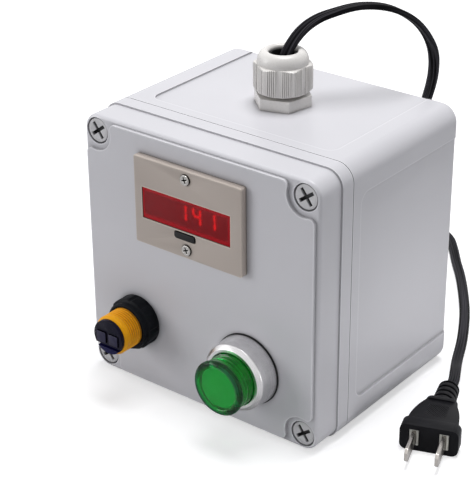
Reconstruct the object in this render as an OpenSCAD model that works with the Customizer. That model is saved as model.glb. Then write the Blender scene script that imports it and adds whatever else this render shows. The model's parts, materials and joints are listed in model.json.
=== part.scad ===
// Counting station in a wall box: panel counter, round light sensor and lamp pushbutton on the
// lid, cable gland on the top, mains lead with a flat two-blade plug.
// Millimetres, +Z up, +Y to the back. The origin lies under the middle of the box and its controls.

/* [Case] */
// Width of the box
case_w = 125; // [115:1:160]
// Height of the box
case_h = 125; // [115:1:160]
// Depth of the closed box, from the lid's border to the back
case_depth = 100; // [85:1:140]
// Radius of the four long corners
corner_r = 8; // [6:0.5:12]
// Wall of the box and of the lid's skirt
wall = 3; // [2:0.1:4]
// Rounding of the back edges
back_edge_r = 3; // [1:0.1:5]
// Depth of the shallow panel in the top and in the bottom
recess_t = 0.8; // [0.3:0.1:1.5]
// Depth of the shallow panel in the left and in the right side
side_recess_t = 1.4; // [0.3:0.1:2]
// Distance of a side panel from the long corners
recess_margin = 14.5; // [12:0.5:20]
// Distance of a side panel from the joint with the lid
recess_start = 6; // [3:0.5:15]
// Radius of a side panel's front corners
recess_corner_r = 5; // [2:0.5:8]

/* [Lid] */
// Depth of the lid, from its border to the joint
lid_depth = 21; // [18:0.5:26]
// Height of the seam between the lid and the box
seam_gap = 0.4; // [0.2:0.1:0.8]
// Depth of the lid's narrower front part
lid_skirt = 14; // [10:0.5:16]
// Step between the front part and the full outline
lid_step = 0.8; // [0.4:0.1:1.5]
// Rounding of the lid's front edge
lid_edge_r = 1.6; // [0.5:0.1:3]
// Thickness of the lid's front under the border
lid_front_t = 2.5; // [2:0.1:4]
// Height of the raised panel over the border
panel_raise = 1.5; // [0.8:0.1:2.5]
// Width of the border round the raised panel
panel_margin = 1.9; // [1.7:0.1:4]
// Radius of the notches round the corner screws
notch_r = 8.4; // [7.5:0.1:10]
// Radius of the panel's corners beside the notches
notch_corner_r = 2.5; // [1:0.1:3]
// Distance of the corner screws from the sides of the box
screw_inset = 8; // [7.5:0.1:10]
// Diameter of a corner screw's head
screw_head_d = 10.6; // [8:0.1:11]
// Height of a corner screw's head
screw_head_h = 3; // [2:0.1:4]
// Depth of the head's face below the border
screw_head_sink = 0.4; // [0:0.1:1]
// Width of a corner screw's crossed slots
screw_slot_w = 1.5; // [1:0.1:1.8]
// Depth of a corner screw's crossed slots
screw_slot_depth = 2.3; // [1.5:0.1:2.6]
// Diameter of a corner screw's shank
screw_shank_d = 4.6; // [4:0.1:5]
// Length of a corner screw's shank
screw_shank_l = 34; // [26:1:40]
// Width of the seal between lid and box
seal_w = 1.6; // [1:0.1:2]
// Thickness of the seal
seal_t = 2; // [1.5:0.1:3]

/* [Counter] */
// Sideways place of the counter's middle
counter_x = -1.9; // [-6:0.1:6]
// Height of the counter's middle, counted from the top of the box
counter_z = -30.7; // [-35:0.1:-29]
// Width of the counter's frame
bezel_w = 57; // [54:0.5:64]
// Height of the counter's frame
bezel_h = 40; // [39:0.5:44]
// Thickness of the counter's frame
bezel_t = 3.4; // [3:0.1:5]
// Rounding of the frame's front edge
bezel_edge_r = 0.5; // [0.3:0.1:1]
// Radius of the frame's corners
bezel_corner_r = 1; // [1:0.1:3]
// Width of the display window
window_w = 47; // [42:0.5:48]
// Height of the display window
window_h = 14.3; // [12:0.1:14.6]
// Sideways offset of the window from the frame's middle
window_dx = -0.8; // [-1.5:0.1:1]
// Height offset of the window from the frame's middle
window_dz = -0.7; // [-1:0.1:1]
// Depth of the window's face below the frame's face
window_sink = 0.3; // [0.1:0.1:0.8]
// Number of digits
digit_count = 6; // [4:1:6]
// Distance between digits
digit_pitch = 7.6; // [6.5:0.1:7.8]
// Width of a digit
digit_w = 4.4; // [3.5:0.1:5.5]
// Height of a digit
digit_h = 8.2; // [6:0.1:10]
// Width of a digit's bars
segment_w = 0.9; // [0.5:0.1:1.3]
// Width of the reset key
key_w = 10.8; // [8:0.1:13]
// Height of the reset key
key_h = 2.8; // [2.5:0.1:3.4]
// Sideways offset of the key from the frame's middle
key_dx = -1.3; // [-3:0.1:3]
// Height offset of the key from the frame's middle
key_dz = -10.2; // [-10.6:0.1:-10]
// How far the key stands out of the frame
key_reach = 0.5; // [0.4:0.1:1.5]
// Travel of the reset key
key_travel = 0.8; // [0.5:0.1:1]
// Distance of the two front screws from the frame's middle
front_screw_dz = 16; // [15.9:0.1:17]
// Head diameter of the front screws
front_screw_d = 4.6; // [4:0.1:5]
// Width of the counter's inner case behind its head
inner_case_w = 51; // [50.5:0.5:52]
// Height of the counter's inner case
inner_case_h = 29; // [28.6:0.1:29]
// Depth of the counter's inner case
inner_case_depth = 28; // [24:1:36]

/* [Sensor] */
// Sideways place of the sensor
sensor_x = -33.7; // [-40:0.1:-28]
// Height of the sensor
sensor_z = 33.1; // [28:0.1:40]
// Diameter of the sensor's threaded barrel
barrel_d = 18; // [16:0.5:19]
// How far the sensor's face stands out of the panel
sensor_reach = 20.3; // [16:0.1:24]
// Length of the sensor behind the panel
sensor_inside = 34; // [28:1:45]
// Thickness of the dark front cap
face_t = 1.8; // [1.8:0.1:4]
// Diameter of the nuts' wide part
nut_d = 23.6; // [22:0.1:26]
// Diameter of the nuts' narrow part
nut_collar_d = 21.2; // [20:0.1:22]
// Thickness of the nuts' wide part
nut_t = 5.8; // [3:0.1:7]
// Thickness of the nuts' narrow part
nut_collar_t = 3; // [1:0.1:4]
// Number of grip flutes round a nut
flute_count = 12; // [6:1:16]

/* [Button] */
// Sideways place of the pushbutton
button_x = 26.8; // [22:0.1:32]
// Height of the pushbutton
button_z = 30.3; // [26:0.1:36]
// Diameter of the metal ring at the panel
ring_d = 31.6; // [29:0.1:34]
// Diameter of the metal ring at its front
ring_front_d = 30.2; // [28.5:0.1:31]
// Height of the metal ring
ring_h = 11; // [9:0.1:13]
// Depth of the ring's bright front bevel
ring_bevel = 1.6; // [0.8:0.1:2.4]
// Thickness of the black gasket
gasket_t = 0.7; // [0.5:0.1:1.5]
// Diameter of the panel hole
panel_hole_d = 22.3; // [22.2:0.1:22.6]
// Diameter of the threaded sleeve
sleeve_d = 21.8; // [21.4:0.1:22]
// How far the lens stands out of the panel
lens_reach = 21; // [18.5:0.5:24]
// Diameter of the lens behind its rim
lens_d = 23.4; // [21:0.1:24]
// Diameter of the lens's front rim
lens_rim_d = 24.7; // [24.2:0.1:25]
// Thickness of the lens's front rim
lens_rim_t = 2.6; // [1.5:0.1:3.5]
// Diameter of the disc inside the lens's front
lens_disc_d = 18.6; // [16:0.1:19]
// Travel of the pushbutton
button_travel = 5; // [3:0.5:5]

/* [Gland] */
// Distance of the gland from the lid's border
gland_back = 58; // [48:0.5:64]
// Width over the flats of the gland's two hexagons
gland_af = 22.5; // [20:0.5:24]
// Height of the gland's lower hexagon
gland_base_h = 5.1; // [4:0.1:8]
// Gap between the two hexagons
gland_gap = 1.4; // [1:0.1:3]
// Height of the dome nut's hexagon
dome_hex_h = 12.2; // [8:0.1:14]
// Height of the dome over the hexagon
dome_h = 5.5; // [5:0.1:6]
// Diameter of the dome
dome_d = 22.2; // [19:0.1:22.4]
// Diameter of the dome's opening
dome_hole_d = 12.4; // [11:0.1:13]
// Turn of the lower hexagon
gland_base_turn = 18; // [0:1:59]
// Turn of the dome nut
dome_turn = 57; // [0:1:59]
// Number of grip ribs on each flat of the dome nut
rib_count = 10; // [4:1:10]
// Diameter of the gland's thread
gland_thread_d = 18.6; // [18:0.1:19]
// Diameter of the gland's bore
gland_bore_d = 10.6; // [9:0.1:11]

/* [Cord] */
// Width of the flat twin cord
cord_w = 5; // [4.6:0.1:6]
// Thickness of the flat twin cord
cord_t = 3; // [2.5:0.1:3.4]

/* [Plug] */
// Distance of the plug's face from the right side of the box
plug_x = 34.7; // [25.5:0.1:47.5]
// Distance of the plug's face from the middle, to the back
plug_y = -8.5; // [-20:0.1:10]
// Turn of the plug about the vertical
plug_turn = 20; // [0:1:45]
// Width of the plug's base
plug_w = 25; // [24:0.5:28]
// Height of the plug's base
plug_h = 12.4; // [12:0.1:14]
// Depth of the plug's base
plug_base_l = 6.6; // [5:0.1:8]
// Length of the plug's tapered grip, from the face to the collar
plug_grip_l = 25; // [22:0.5:30]
// Length of the plug from the face to the end of the strain relief
plug_l = 42; // [36:0.5:45]
// Width of a blade
blade_h = 6.3; // [6.2:0.1:6.5]
// Thickness of a blade
blade_t = 1.5; // [1.4:0.1:1.6]
// Length of a blade outside the plug
blade_l = 15; // [15:0.1:18]
// Distance between the blades
blade_pitch = 12.7; // [12.5:0.1:12.9]

/* [Hidden] */
$fn = 64;
// Clearance of a piece that sits in another
fit = 0.15;
// Clearance of a piece that moves in another
slide_fit = 0.35;
// Distance between the segments of a digit
segment_gap = 0.15;
// Extra length of a cut past the face that it opens
cut = 1;

// How far the sensor's lens blocks stand out of its face
lens_stand = 0.7;

// Planes of the front, worked out so that the origin lies in the middle of the depth
front_y = (max(lens_reach, sensor_reach + lens_stand) + panel_raise - case_depth) / 2;
panel_y = front_y - panel_raise;
back_y = front_y + case_depth;
panel_t = panel_raise + lid_front_t;

// Corner screws, in the lid's own plane
screw_x = case_w / 2 - screw_inset;
screw_v = case_h / 2 - screw_inset;
head_clear_d = screw_head_d + 1.2;
boss_r = head_clear_d / 2 + 1.8;
lid_w = case_w - 2 * lid_step;
lid_h = case_h - 2 * lid_step;
cavity_w = lid_w - 2 * wall;
cavity_h = lid_h - 2 * wall;
cavity_corner_r = 2;
screw_spare = 2;
screw_slot_l = 0.76 * screw_head_d;

// Counter, along its own axis out of the panel
counter_mid = case_h + counter_z;
case_wall = 1.5;
cutout_h = 2 * front_screw_dz + 4;
window_flange_w = window_w + 2;
window_flange_t = 1.4;
board_t = 1.6;
display_gap = 0.2;
segment_t = 0.2;
display_t = 6.5;
display_top = -display_gap - segment_t;
board_top = display_top - display_t;
display_w = digit_count * digit_pitch - 0.4;
display_h = digit_h + 3.6;
head_w = max(inner_case_w + 0.6, display_w + 2 * abs(window_dx) + 2 * (case_wall + 2 * fit));
head_depth = board_t - board_top + 2 * case_wall;
cutout_w = head_w + 1;
key_flange_w = key_w + 1.4;
key_flange_h = key_h + 1.2;
key_flange_t = 0.8;
key_back = -slide_fit - key_flange_t;
switch_size = 4.5;
switch_stem_d = 3.2;
switch_stem_top = key_back - key_travel - slide_fit;
switch_stem_l = 1.4;
switch_h = switch_stem_top - switch_stem_l - board_top;
front_screw_shank_d = 2.5;
front_screw_head_h = 1.3;
front_screw_sink = 0.5;
front_slot_l = 2.8;
front_slot_w = 0.6;
front_slot_depth = 0.9;
clamp_w = 9;
clamp_t = 5;
clamp_reach = 5;
terminal_count = 6;
terminal_pitch = 7;
terminal_h = 9;
terminal_t = 8;
terminal_dz = -6;
terminal_foot = counter_mid + terminal_dz - terminal_h / 2;
terminal_y = panel_y + inner_case_depth + terminal_t / 2;
terminal_screw_d = 4;
terminal_screw_h = 1;
terminal_notch_r = 0.8;
slot_w = 0.8;
slot_depth = 0.6;

// Sensor
barrel_r = barrel_d / 2;
barrel_wall = 1.6;
barrel_floor = 2;
barrel_chamfer = 0.9;
face_r = barrel_r - 1;
lens_pair_dx = 3.4;
lens_pair_dz = -0.4;
lens_block_w = 5;
lens_block_h = 5;
lens_seat = 0.6;
channel_dz = -4.7;
channel_w = 1.4;
channel_depth = 1.4;
flute_r = 2;
flute_depth = 0.4;
nut_chamfer = 0.5;
end_cap_r = barrel_r - 0.1;
end_cap_plug = 6;
end_cap_t = 4;
lead_d = 3.6;
lead_bend = 4.5;

// Button, along its own axis out of the panel
ring_bore_d = lens_d + 2 * slide_fit;
lens_wall = 1.8;
lens_edge = 0.5;
lens_front_t = 2;
disc_sink = 0.4;
pocket_floor = 1.6;
plunger_flange_t = 1;
lens_bottom = pocket_floor + button_travel + plunger_flange_t + slide_fit;
sleeve_end = -16;
sleeve_bore_d = sleeve_d - 2.6;
plunger_d = sleeve_bore_d - 2 * slide_fit;
plunger_bore_d = plunger_d - 4;
plunger_end = sleeve_end + 1;
body_d = sleeve_d + 4.8;
body_front = -panel_t - 6;
spring_room = 12;
body_floor = plunger_end - spring_room;
body_floor_t = 3;
body_end = body_floor - body_floor_t;
ring_nut_t = 5;
lamp_d = 9.6;
lamp_flange_d = 12.4;
lamp_flange_t = 2.2;
lamp_top = lens_reach - lens_rim_t - button_travel - 6;
spring_wire = 1.2;
spring_turns = 5;
turn_steps = 14;
contact_w = 30;
contact_h = 22;
contact_t = 20;
contact_screw_d = 4.4;
contact_screw_h = 2;
contact_pocket_d = 5;
contact_pocket = 3;
contact_dx = contact_w / 2 - 4;
contact_dy = contact_h / 2 - 5;
contact_top = button_z + contact_h / 2;
contact_y = panel_y - body_end + 0.6 * contact_t;

// Gland, above the panel in the top of the box
gland_y = front_y + gland_back;
seat_z = case_h - recess_t;
gland_inside = 9;
lock_nut_t = 5;
dome_bottom = gland_base_h + gland_gap;
dome_hex_top = dome_bottom + dome_hex_h;
dome_top = dome_hex_top + dome_h;
dome_thread_d = 17;
gland_seal_lift = 4;
seal_sleeve_d = 10.4;
seal_sink = 1.6;
dome_lip_r = 1.4;
dome_side_h = 0.6;
hex_chamfer = 1;
cord_exit_z = seat_z + dome_hex_top;
rib_w = 0.44;
rib_t = 0.45;
rib_pitch = gland_af * 0.037;
rib_bare = gland_af * 0.1;
exit_turn = 128;
exit_lean = 0.5;
twist_rings = 10;

// Plug
plug_face_x = case_w / 2 + plug_x;
plug_axis_z = plug_h / 2;
grip_w = 21.4;
grip_end_w = 11.6;
grip_run = plug_grip_l - plug_base_l;
grip_narrowing = (grip_w - grip_end_w) / 2;
grip_round_r = (pow(grip_run, 2) + pow(grip_narrowing, 2)) / (2 * grip_narrowing);
plug_corner_r = 3;
collar_w = 13.8;
collar_h = 11;
collar_l = 2.2;
relief_d = 10.4;
relief_end_d = 9.4;
relief_edge = 0.6;
groove_count = 4;
groove_depth = 0.9;
groove_share = 0.62;
pad_w = 4;
pad_h = 7.4;
core_l = 12;
core_sink = 0.2;
blade_root = 2;
blade_taper_l = 1.6;
blade_taper = 1.4;

// Route of the cord from the gland's seal over the back of the box to the plug, chosen by hand
cord_lie = cord_t / 2 + 0.2;
cord_end = plug_point(plug_l);
cord_drop = cord_lie - plug_axis_z;
cord_route = [
    [0, gland_y, cord_exit_z],
    [1.2, gland_y + 2.8, cord_exit_z + 5.9],
    [3.5, gland_y + 6.8, cord_exit_z + 11.7],
    [7, gland_y + 11.4, cord_exit_z + 16.1],
    [12, gland_y + 17, cord_exit_z + 19.1],
    [20.5, gland_y + 26.8, cord_exit_z + 21.5],
    [28.1, back_y - 3.2, cord_exit_z + 18.7],
    [32.5, back_y + 10.6, cord_exit_z + 9.6],
    [34.6, back_y + 20.4, cord_exit_z - 3.3],
    [32.1, back_y + 27.2, cord_exit_z - 17.9],
    [25.2, back_y + 33.4, cord_exit_z * 0.75],
    [14.9, back_y + 39.2, cord_exit_z * 0.594],
    [4.3, back_y + 44.8, cord_exit_z * 0.447],
    [-6.3, back_y + 50.4, cord_exit_z * 0.318],
    [-16.9, back_y + 56, cord_exit_z * 0.212],
    [-26.4, back_y + 61.2, cord_exit_z * 0.134],
    [-34.8, back_y + 68.4, cord_lie + 9],
    [-39.3, back_y + 79.4, cord_lie + 3.1],
    [-38.4, back_y + 91.2, cord_lie + 0.3],
    [-32, back_y + 101.2, cord_lie],
    [-21.7, back_y + 107.2, cord_lie],
    [-9.9, back_y + 107.8, cord_lie],
    [0.9, back_y + 102.8, cord_lie],
    [9.6, back_y + 93.2, cord_lie],
    [18.5, back_y + 81.6, cord_lie],
    [28.6, back_y + 69, cord_lie],
    [39.6, back_y + 53.6, cord_lie],
    [50.3, back_y + 37, cord_lie],
    cord_end + [-21.7, 47.2, cord_drop],
    cord_end + [-13.3, 28.9, cord_drop + 0.3],
    cord_end + [-7.2, 17.2, cord_drop + 2.6],
    cord_end + [-2.2, 7.4, cord_drop + 4],
    cord_end
];

// Route of the cord's tail inside the box, from the seal to the counter's terminals
tail_end = [counter_x - 2 * terminal_pitch, terminal_y, terminal_foot + terminal_h];
tail_route = [
    [0, gland_y, cord_exit_z],
    [0, gland_y, seat_z],
    tail_point(0.03, seat_z - 12.5),
    tail_point(0.18, seat_z - 21.5),
    tail_point(0.47, tail_end[2] + 5.7),
    tail_point(0.75, tail_end[2] + 4.2),
    tail_end + [0.8, 1.6, 3],
    tail_end
];

// Routes of the inner leads up to the counter's terminals
sensor_lead_x = counter_x - 2.3 * terminal_pitch;
sensor_rise = terminal_foot - sensor_z;
sensor_end = panel_y + sensor_inside + end_cap_t;
sensor_lead_route = [
    [sensor_x, sensor_end, sensor_z],
    [sensor_x, sensor_end + 6, sensor_z + 1],
    [sensor_x + 1, sensor_end + 12, sensor_z + 0.16 * sensor_rise],
    [sensor_x + 6.5, sensor_end + 14, sensor_z + 0.44 * sensor_rise],
    [sensor_lead_x - 3, terminal_y + 14, sensor_z + 0.73 * sensor_rise],
    [sensor_lead_x, terminal_y + 4, terminal_foot - lead_bend],
    [sensor_lead_x, terminal_y, terminal_foot]
];
button_lead_x = counter_x + 1.7 * terminal_pitch;
button_rise = terminal_foot - contact_top;
button_lead_route = [
    [button_x, contact_y, contact_top],
    [button_x - 1, contact_y + 2, contact_top + 0.21 * button_rise],
    [button_x - 7, contact_y + 4, contact_top + 0.49 * button_rise],
    [button_lead_x + 3, contact_y + 2, contact_top + 0.75 * button_rise],
    [button_lead_x, terminal_y + 5, terminal_foot - lead_bend],
    [button_lead_x, terminal_y, terminal_foot]
];

// Unit vector
function unit(v) = v / norm(v);
// Point of the plug's axis at a distance behind its face
function plug_point(d) = [
    plug_face_x - d * sin(plug_turn),
    plug_y + d * cos(plug_turn),
    plug_axis_z
];
// Point of the cord's tail over the share s of its way in plan, at height z
function tail_point(s, z) = [s * tail_end[0], gland_y + s * (tail_end[1] - gland_y), z];
// Point of a smooth curve through four neighbouring points, at the share t between the middle two
function curve_point(a, b, c, d, t) =
    0.5 * (2 * b + (c - a) * t + (2 * a - 5 * b + 4 * c - d) * t * t + (3 * b - a - 3 * c + d) * t * t * t);
// Smooth curve through a route, with a given number of steps between its points
function smooth(p, steps) = [
    for (i = [0 : len(p) - 2], k = [0 : steps - 1])
        curve_point(p[max(i - 1, 0)], p[i], p[i + 1], p[min(i + 2, len(p) - 1)], k / steps),
    p[len(p) - 1]
];
// Direction of a path at one of its points, as stated at its two ends
function heading(p, i, ends) =
    i == 0 ? ends[0] : i == len(p) - 1 ? ends[1] : unit(p[i + 1] - p[i - 1]);
// Direction across a path and square to ref, or the spare one where the path runs along ref
function across(t, ref, spare) = norm(cross(ref, t)) > 0.06 ? unit(cross(ref, t)) : spare;
// Eight-sided ring of a flat cord round one point of its path
function cord_ring(p, i, w, t, ends, ref, spare) =
    let (h = heading(p, i, ends), a = across(h, ref, spare), b = cross(h, a))
    [for (k = [0 : 7]) p[i] + (a * w * cos(22.5 + 45 * k) + b * t * sin(22.5 + 45 * k)) / (2 * cos(22.5))];

// Flat tube of width w and thickness t along a path, its two end faces square to the stated directions;
// refs holds the direction that the flat side faces at each ring, its last one for all further rings
module tube_along(p, w, t, ends, refs, spare) {
    n = len(p);
    points = [
        for (i = [0 : n - 1]) each cord_ring(p, i, w, t, ends, refs[min(i, len(refs) - 1)], spare)
    ];
    sides = [
        for (i = [0 : n - 2], k = [0 : 7], half = [0, 1])
            let (a = 8 * i + k, b = 8 * i + (k + 1) % 8)
            half == 0 ? [a, b, b + 8] : [a, b + 8, a + 8]
    ];
    first = [for (k = [0 : 7]) 7 - k];
    last = [for (k = [0 : 7]) 8 * (n - 1) + k];
    polyhedron(points, [for (f = concat(sides, [first, last])) [for (k = [len(f) - 1 : -1 : 0]) f[k]]]);
}

// Places children on the raised panel, their Z pointing out of it
module on_panel(x, z) {
    translate([x, panel_y, z]) rotate([90, 0, 0]) children();
}

// Places children on the lid's border plane, their Z pointing out of it
module on_front() {
    translate([0, front_y, case_h / 2]) rotate([90, 0, 0]) children();
}

// Places children over the gland's seat
module on_top() {
    translate([0, gland_y, seat_z]) children();
}

// Places children at the plug, their Y pointing along it towards the cord
module at_plug() {
    translate([plug_face_x, plug_y, plug_axis_z]) rotate([0, 0, plug_turn]) children();
}

// Rectangle with round corners
module round_rect(w, h, r) {
    square([w - 2 * r, h], center = true);
    square([w, h - 2 * r], center = true);
    for (x = [-1, 1], y = [-1, 1]) translate([x * (w / 2 - r), y * (h / 2 - r)]) circle(r);
}

// Rectangle with a round notch of radius r at each corner screw and round corners q beside it
module notched_rect(w, h, r, q) {
    side = [w / 2 - q, screw_v - sqrt(pow(r + q, 2) - pow(w / 2 - q - screw_x, 2))];
    top = [screw_x - sqrt(pow(r + q, 2) - pow(h / 2 - q - screw_v, 2)), h / 2 - q];
    difference() {
        square([w, h], center = true);
        for (x = [-1, 1], y = [-1, 1]) {
            translate([x * screw_x, y * screw_v]) circle(r);
            polygon([
                [x * screw_x, y * screw_v], [x * side[0], y * side[1]], [x * w, y * side[1]],
                [x * w, y * h], [x * top[0], y * h], [x * top[0], y * top[1]]
            ]);
        }
    }
    for (x = [-1, 1], y = [-1, 1]) {
        translate([x * side[0], y * side[1]]) circle(q);
        translate([x * top[0], y * top[1]]) circle(q);
    }
}

// Slab with round corners r and a rounding e along its upper edge
module soft_slab(w, h, r, t, e) {
    linear_extrude(t - e) round_rect(w, h, r);
    translate([0, 0, t - e]) {
        linear_extrude(e) round_rect(w - 2 * e, h - 2 * e, r - e);
        for (x = [-1, 1], y = [-1, 1])
            translate([x * (w / 2 - r), y * (h / 2 - r), 0])
                rotate([0, 0, y > 0 ? (x > 0 ? 0 : 90) : (x > 0 ? 270 : 180)])
                    rotate_extrude(angle = 90) translate([r - e, 0]) quarter(e);
        for (a = [0 : 90 : 270]) rotate([0, 0, a]) {
            long = (a % 180 == 0) ? h - 2 * r : w - 2 * r;
            off = (a % 180 == 0) ? w / 2 - e : h / 2 - e;
            translate([off, long / 2, 0]) rotate([90, 0, 0]) linear_extrude(long) quarter(e);
        }
    }
}

// Quarter of a disc
module quarter(e) {
    intersection() {
        circle(e);
        square(e);
    }
}

// Repeats children at the four corner screws
module at_corner_screws() {
    for (x = [-1, 1], y = [-1, 1]) translate([x * screw_x, y * screw_v, 0]) children();
}

// Outline of a side panel, open at its back end; X runs to the back
module recess_outline(half) {
    start = lid_depth + recess_start;
    translate([start + recess_corner_r, -half]) square([case_depth, 2 * half]);
    translate([start, -half + recess_corner_r]) square([case_depth, 2 * (half - recess_corner_r)]);
    for (y = [-1, 1])
        translate([start + recess_corner_r, y * (half - recess_corner_r)]) circle(recess_corner_r);
}

module case_base() {
    color("gainsboro") difference() {
        on_front() difference() {
            translate([0, 0, -lid_depth - seam_gap]) mirror([0, 0, 1])
                soft_slab(case_w, case_h, corner_r, case_depth - lid_depth - seam_gap, back_edge_r);
            translate([0, 0, wall - case_depth]) linear_extrude(case_depth)
                notched_rect(cavity_w, cavity_h, boss_r, cavity_corner_r);
            at_corner_screws() translate([0, 0, -screw_shank_l - screw_head_h - 2 * screw_spare])
                cylinder(h = screw_shank_l, d = screw_shank_d + 2 * fit);
            for (a = [0 : 90 : 270]) rotate([0, 0, a]) {
                reach = (a % 180 == 0) ? case_w / 2 : case_h / 2;
                half = ((a % 180 == 0) ? case_h / 2 : case_w / 2) - recess_margin;
                depth = (a % 180 == 0) ? side_recess_t : recess_t;
                translate([reach - depth, 0, 0]) rotate([0, 90, 0])
                    linear_extrude(depth + cut) recess_outline(half);
            }
        }
        on_top() translate([0, 0, -wall - recess_t - 2 * lid_step])
            cylinder(h = 2 * wall + 4 * lid_step, d = gland_thread_d + 2 * fit);
    }
}

module case_lid() {
    color("gainsboro") difference() {
        on_front() difference() {
            union() {
                translate([0, 0, -lid_depth]) linear_extrude(lid_depth - lid_skirt)
                    round_rect(case_w, case_h, corner_r);
                translate([0, 0, -lid_skirt])
                    soft_slab(lid_w, lid_h, corner_r - lid_step, lid_skirt, lid_edge_r);
                linear_extrude(panel_raise) notched_rect(
                    lid_w - 2 * panel_margin, lid_h - 2 * panel_margin, notch_r, notch_corner_r
                );
            }
            translate([0, 0, -lid_depth - cut]) linear_extrude(lid_depth + cut - lid_front_t)
                notched_rect(cavity_w, cavity_h, boss_r, cavity_corner_r);
            translate([0, 0, -lid_depth - cut]) linear_extrude(seal_t + cut) seal_outline(fit);
            at_corner_screws() {
                translate([0, 0, -screw_head_sink - screw_head_h])
                    cylinder(h = screw_head_h + screw_head_sink + cut, d = head_clear_d);
                translate([0, 0, -lid_depth - cut])
                    cylinder(h = lid_depth + cut, d = screw_shank_d + 2 * fit);
            }
        }
        on_panel(counter_x, counter_mid) translate([0, 0, -panel_t - cut]) linear_extrude(panel_t + 2 * cut)
            square([cutout_w, cutout_h], center = true);
        on_panel(sensor_x, sensor_z) translate([0, 0, -panel_t - cut])
            cylinder(h = panel_t + 2 * cut, d = barrel_d + 4 * fit);
        on_panel(button_x, button_z) translate([0, 0, -panel_t - cut])
            cylinder(h = panel_t + 2 * cut, d = panel_hole_d);
    }
}

// Outline of the seal, widened on both sides by c
module seal_outline(c) {
    inner = (wall - seal_w) / 2 - c;
    outer = (wall + seal_w) / 2 + c;
    difference() {
        notched_rect(cavity_w + 2 * outer, cavity_h + 2 * outer, boss_r - outer, cavity_corner_r + outer);
        notched_rect(cavity_w + 2 * inner, cavity_h + 2 * inner, boss_r - inner, cavity_corner_r + inner);
    }
}

module lid_seal() {
    color("dimgray") on_front() translate([0, 0, -lid_depth - seam_gap])
        linear_extrude(seal_t + seam_gap) seal_outline(0);
}

module lid_screws() {
    color("lightgray") on_front() at_corner_screws() translate([0, 0, -screw_head_sink]) {
        difference() {
            translate([0, 0, -screw_head_h]) cylinder(h = screw_head_h, d = screw_head_d);
            for (a = [36, 126]) rotate([0, 0, a])
                translate([-screw_slot_l / 2, -screw_slot_w / 2, -screw_slot_depth])
                    cube([screw_slot_l, screw_slot_w, screw_slot_depth + cut]);
        }
        translate([0, 0, -screw_head_h - screw_shank_l + screw_spare])
            cylinder(h = screw_shank_l - screw_spare, d = screw_shank_d);
    }
}

// Outline of the reset key, widened by c
module key_outline(c) {
    translate([key_dx, key_dz]) round_rect(key_w + 2 * c, key_h + 2 * c, key_h * 0.42);
}

// Repeats children at the counter's two front screws
module at_front_screws() {
    for (y = [-1, 1]) translate([window_dx / 2, y * front_screw_dz, 0]) children();
}

module counter_bezel() {
    color("tan") on_panel(counter_x, counter_mid) difference() {
        soft_slab(bezel_w, bezel_h, bezel_corner_r, bezel_t, bezel_edge_r);
        translate([window_dx, window_dz, -cut]) {
            linear_extrude(bezel_t + 2 * cut) square([window_w, window_h], center = true);
            linear_extrude(window_flange_t + fit + cut)
                square([window_flange_w + 2 * fit, window_h], center = true);
        }
        translate([0, 0, -cut]) linear_extrude(bezel_t + 2 * cut) key_outline(slide_fit);
        at_front_screws() {
            translate([0, 0, -cut]) cylinder(h = bezel_t + 2 * cut, d = front_screw_shank_d + 2 * fit);
            translate([0, 0, bezel_t - front_screw_sink])
                cylinder(h = front_screw_sink + cut, d = front_screw_d + 4 * fit);
        }
    }
}

module counter_window() {
    color("darkred") on_panel(counter_x, counter_mid) translate([window_dx, window_dz, 0]) {
        linear_extrude(window_flange_t)
            square([window_flange_w, window_h - 2 * fit], center = true);
        linear_extrude(bezel_t - window_sink)
            square([window_w - 2 * fit, window_h - 2 * fit], center = true);
    }
}

// Plan outline of the counter's inner case, a wider head before a rear part; its Y runs out of the panel
module inner_case_outline(inset, front) {
    rear = inner_case_w / 2 - inset;
    head = head_w / 2 - inset;
    low = inset - inner_case_depth;
    step = inset - head_depth;
    polygon([
        [-rear, low], [rear, low], [rear, step], [head, step],
        [head, front], [-head, front], [-head, step], [-rear, step]
    ]);
}

module counter_case() {
    room_h = inner_case_h - 2 * case_wall;
    color("dimgray") on_panel(counter_x, counter_mid) difference() {
        translate([0, inner_case_h / 2, 0]) rotate([90, 0, 0])
            linear_extrude(inner_case_h) inner_case_outline(0, 0);
        translate([0, room_h / 2, 0]) rotate([90, 0, 0])
            linear_extrude(room_h) inner_case_outline(case_wall, cut);
    }
}

module counter_display() {
    color("black") on_panel(counter_x, counter_mid) translate([window_dx, window_dz, board_top])
        linear_extrude(display_t) square([display_w, display_h], center = true);
}

// One bar of a digit, pointed at both ends, along X
module segment(l) {
    e = segment_w / 2;
    polygon([[-l / 2, 0], [e - l / 2, e], [l / 2 - e, e], [l / 2, 0], [l / 2 - e, -e], [e - l / 2, -e]]);
}

// Seven bars of one digit
module digit() {
    flat = digit_w - segment_w - 2 * segment_gap;
    tall = (digit_h - segment_w) / 2 - 2 * segment_gap;
    for (y = [-1, 0, 1]) translate([0, y * (digit_h - segment_w) / 2]) segment(flat);
    for (x = [-1, 1], y = [-1, 1])
        translate([x * (digit_w - segment_w) / 2, y * (digit_h - segment_w) / 4]) rotate(90) segment(tall);
}

module display_segments() {
    color("red") on_panel(counter_x, counter_mid) translate([window_dx, window_dz, display_top])
        for (i = [0 : digit_count - 1]) translate([(i - (digit_count - 1) / 2) * digit_pitch, 0, 0])
            linear_extrude(segment_t) digit();
}

module counter_board() {
    inset = case_wall + fit;
    color("seagreen") on_panel(counter_x, counter_mid) translate([0, 0, board_top - board_t])
        linear_extrude(board_t) square([head_w - 2 * inset, inner_case_h - 2 * inset], center = true);
}

module reset_key() {
    color("black") on_panel(counter_x, counter_mid) {
        translate([0, 0, -slide_fit]) linear_extrude(bezel_t + key_reach + slide_fit) key_outline(0);
        translate([key_dx, key_dz, key_back]) linear_extrude(key_flange_t)
            square([key_flange_w, key_flange_h], center = true);
    }
}

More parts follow.
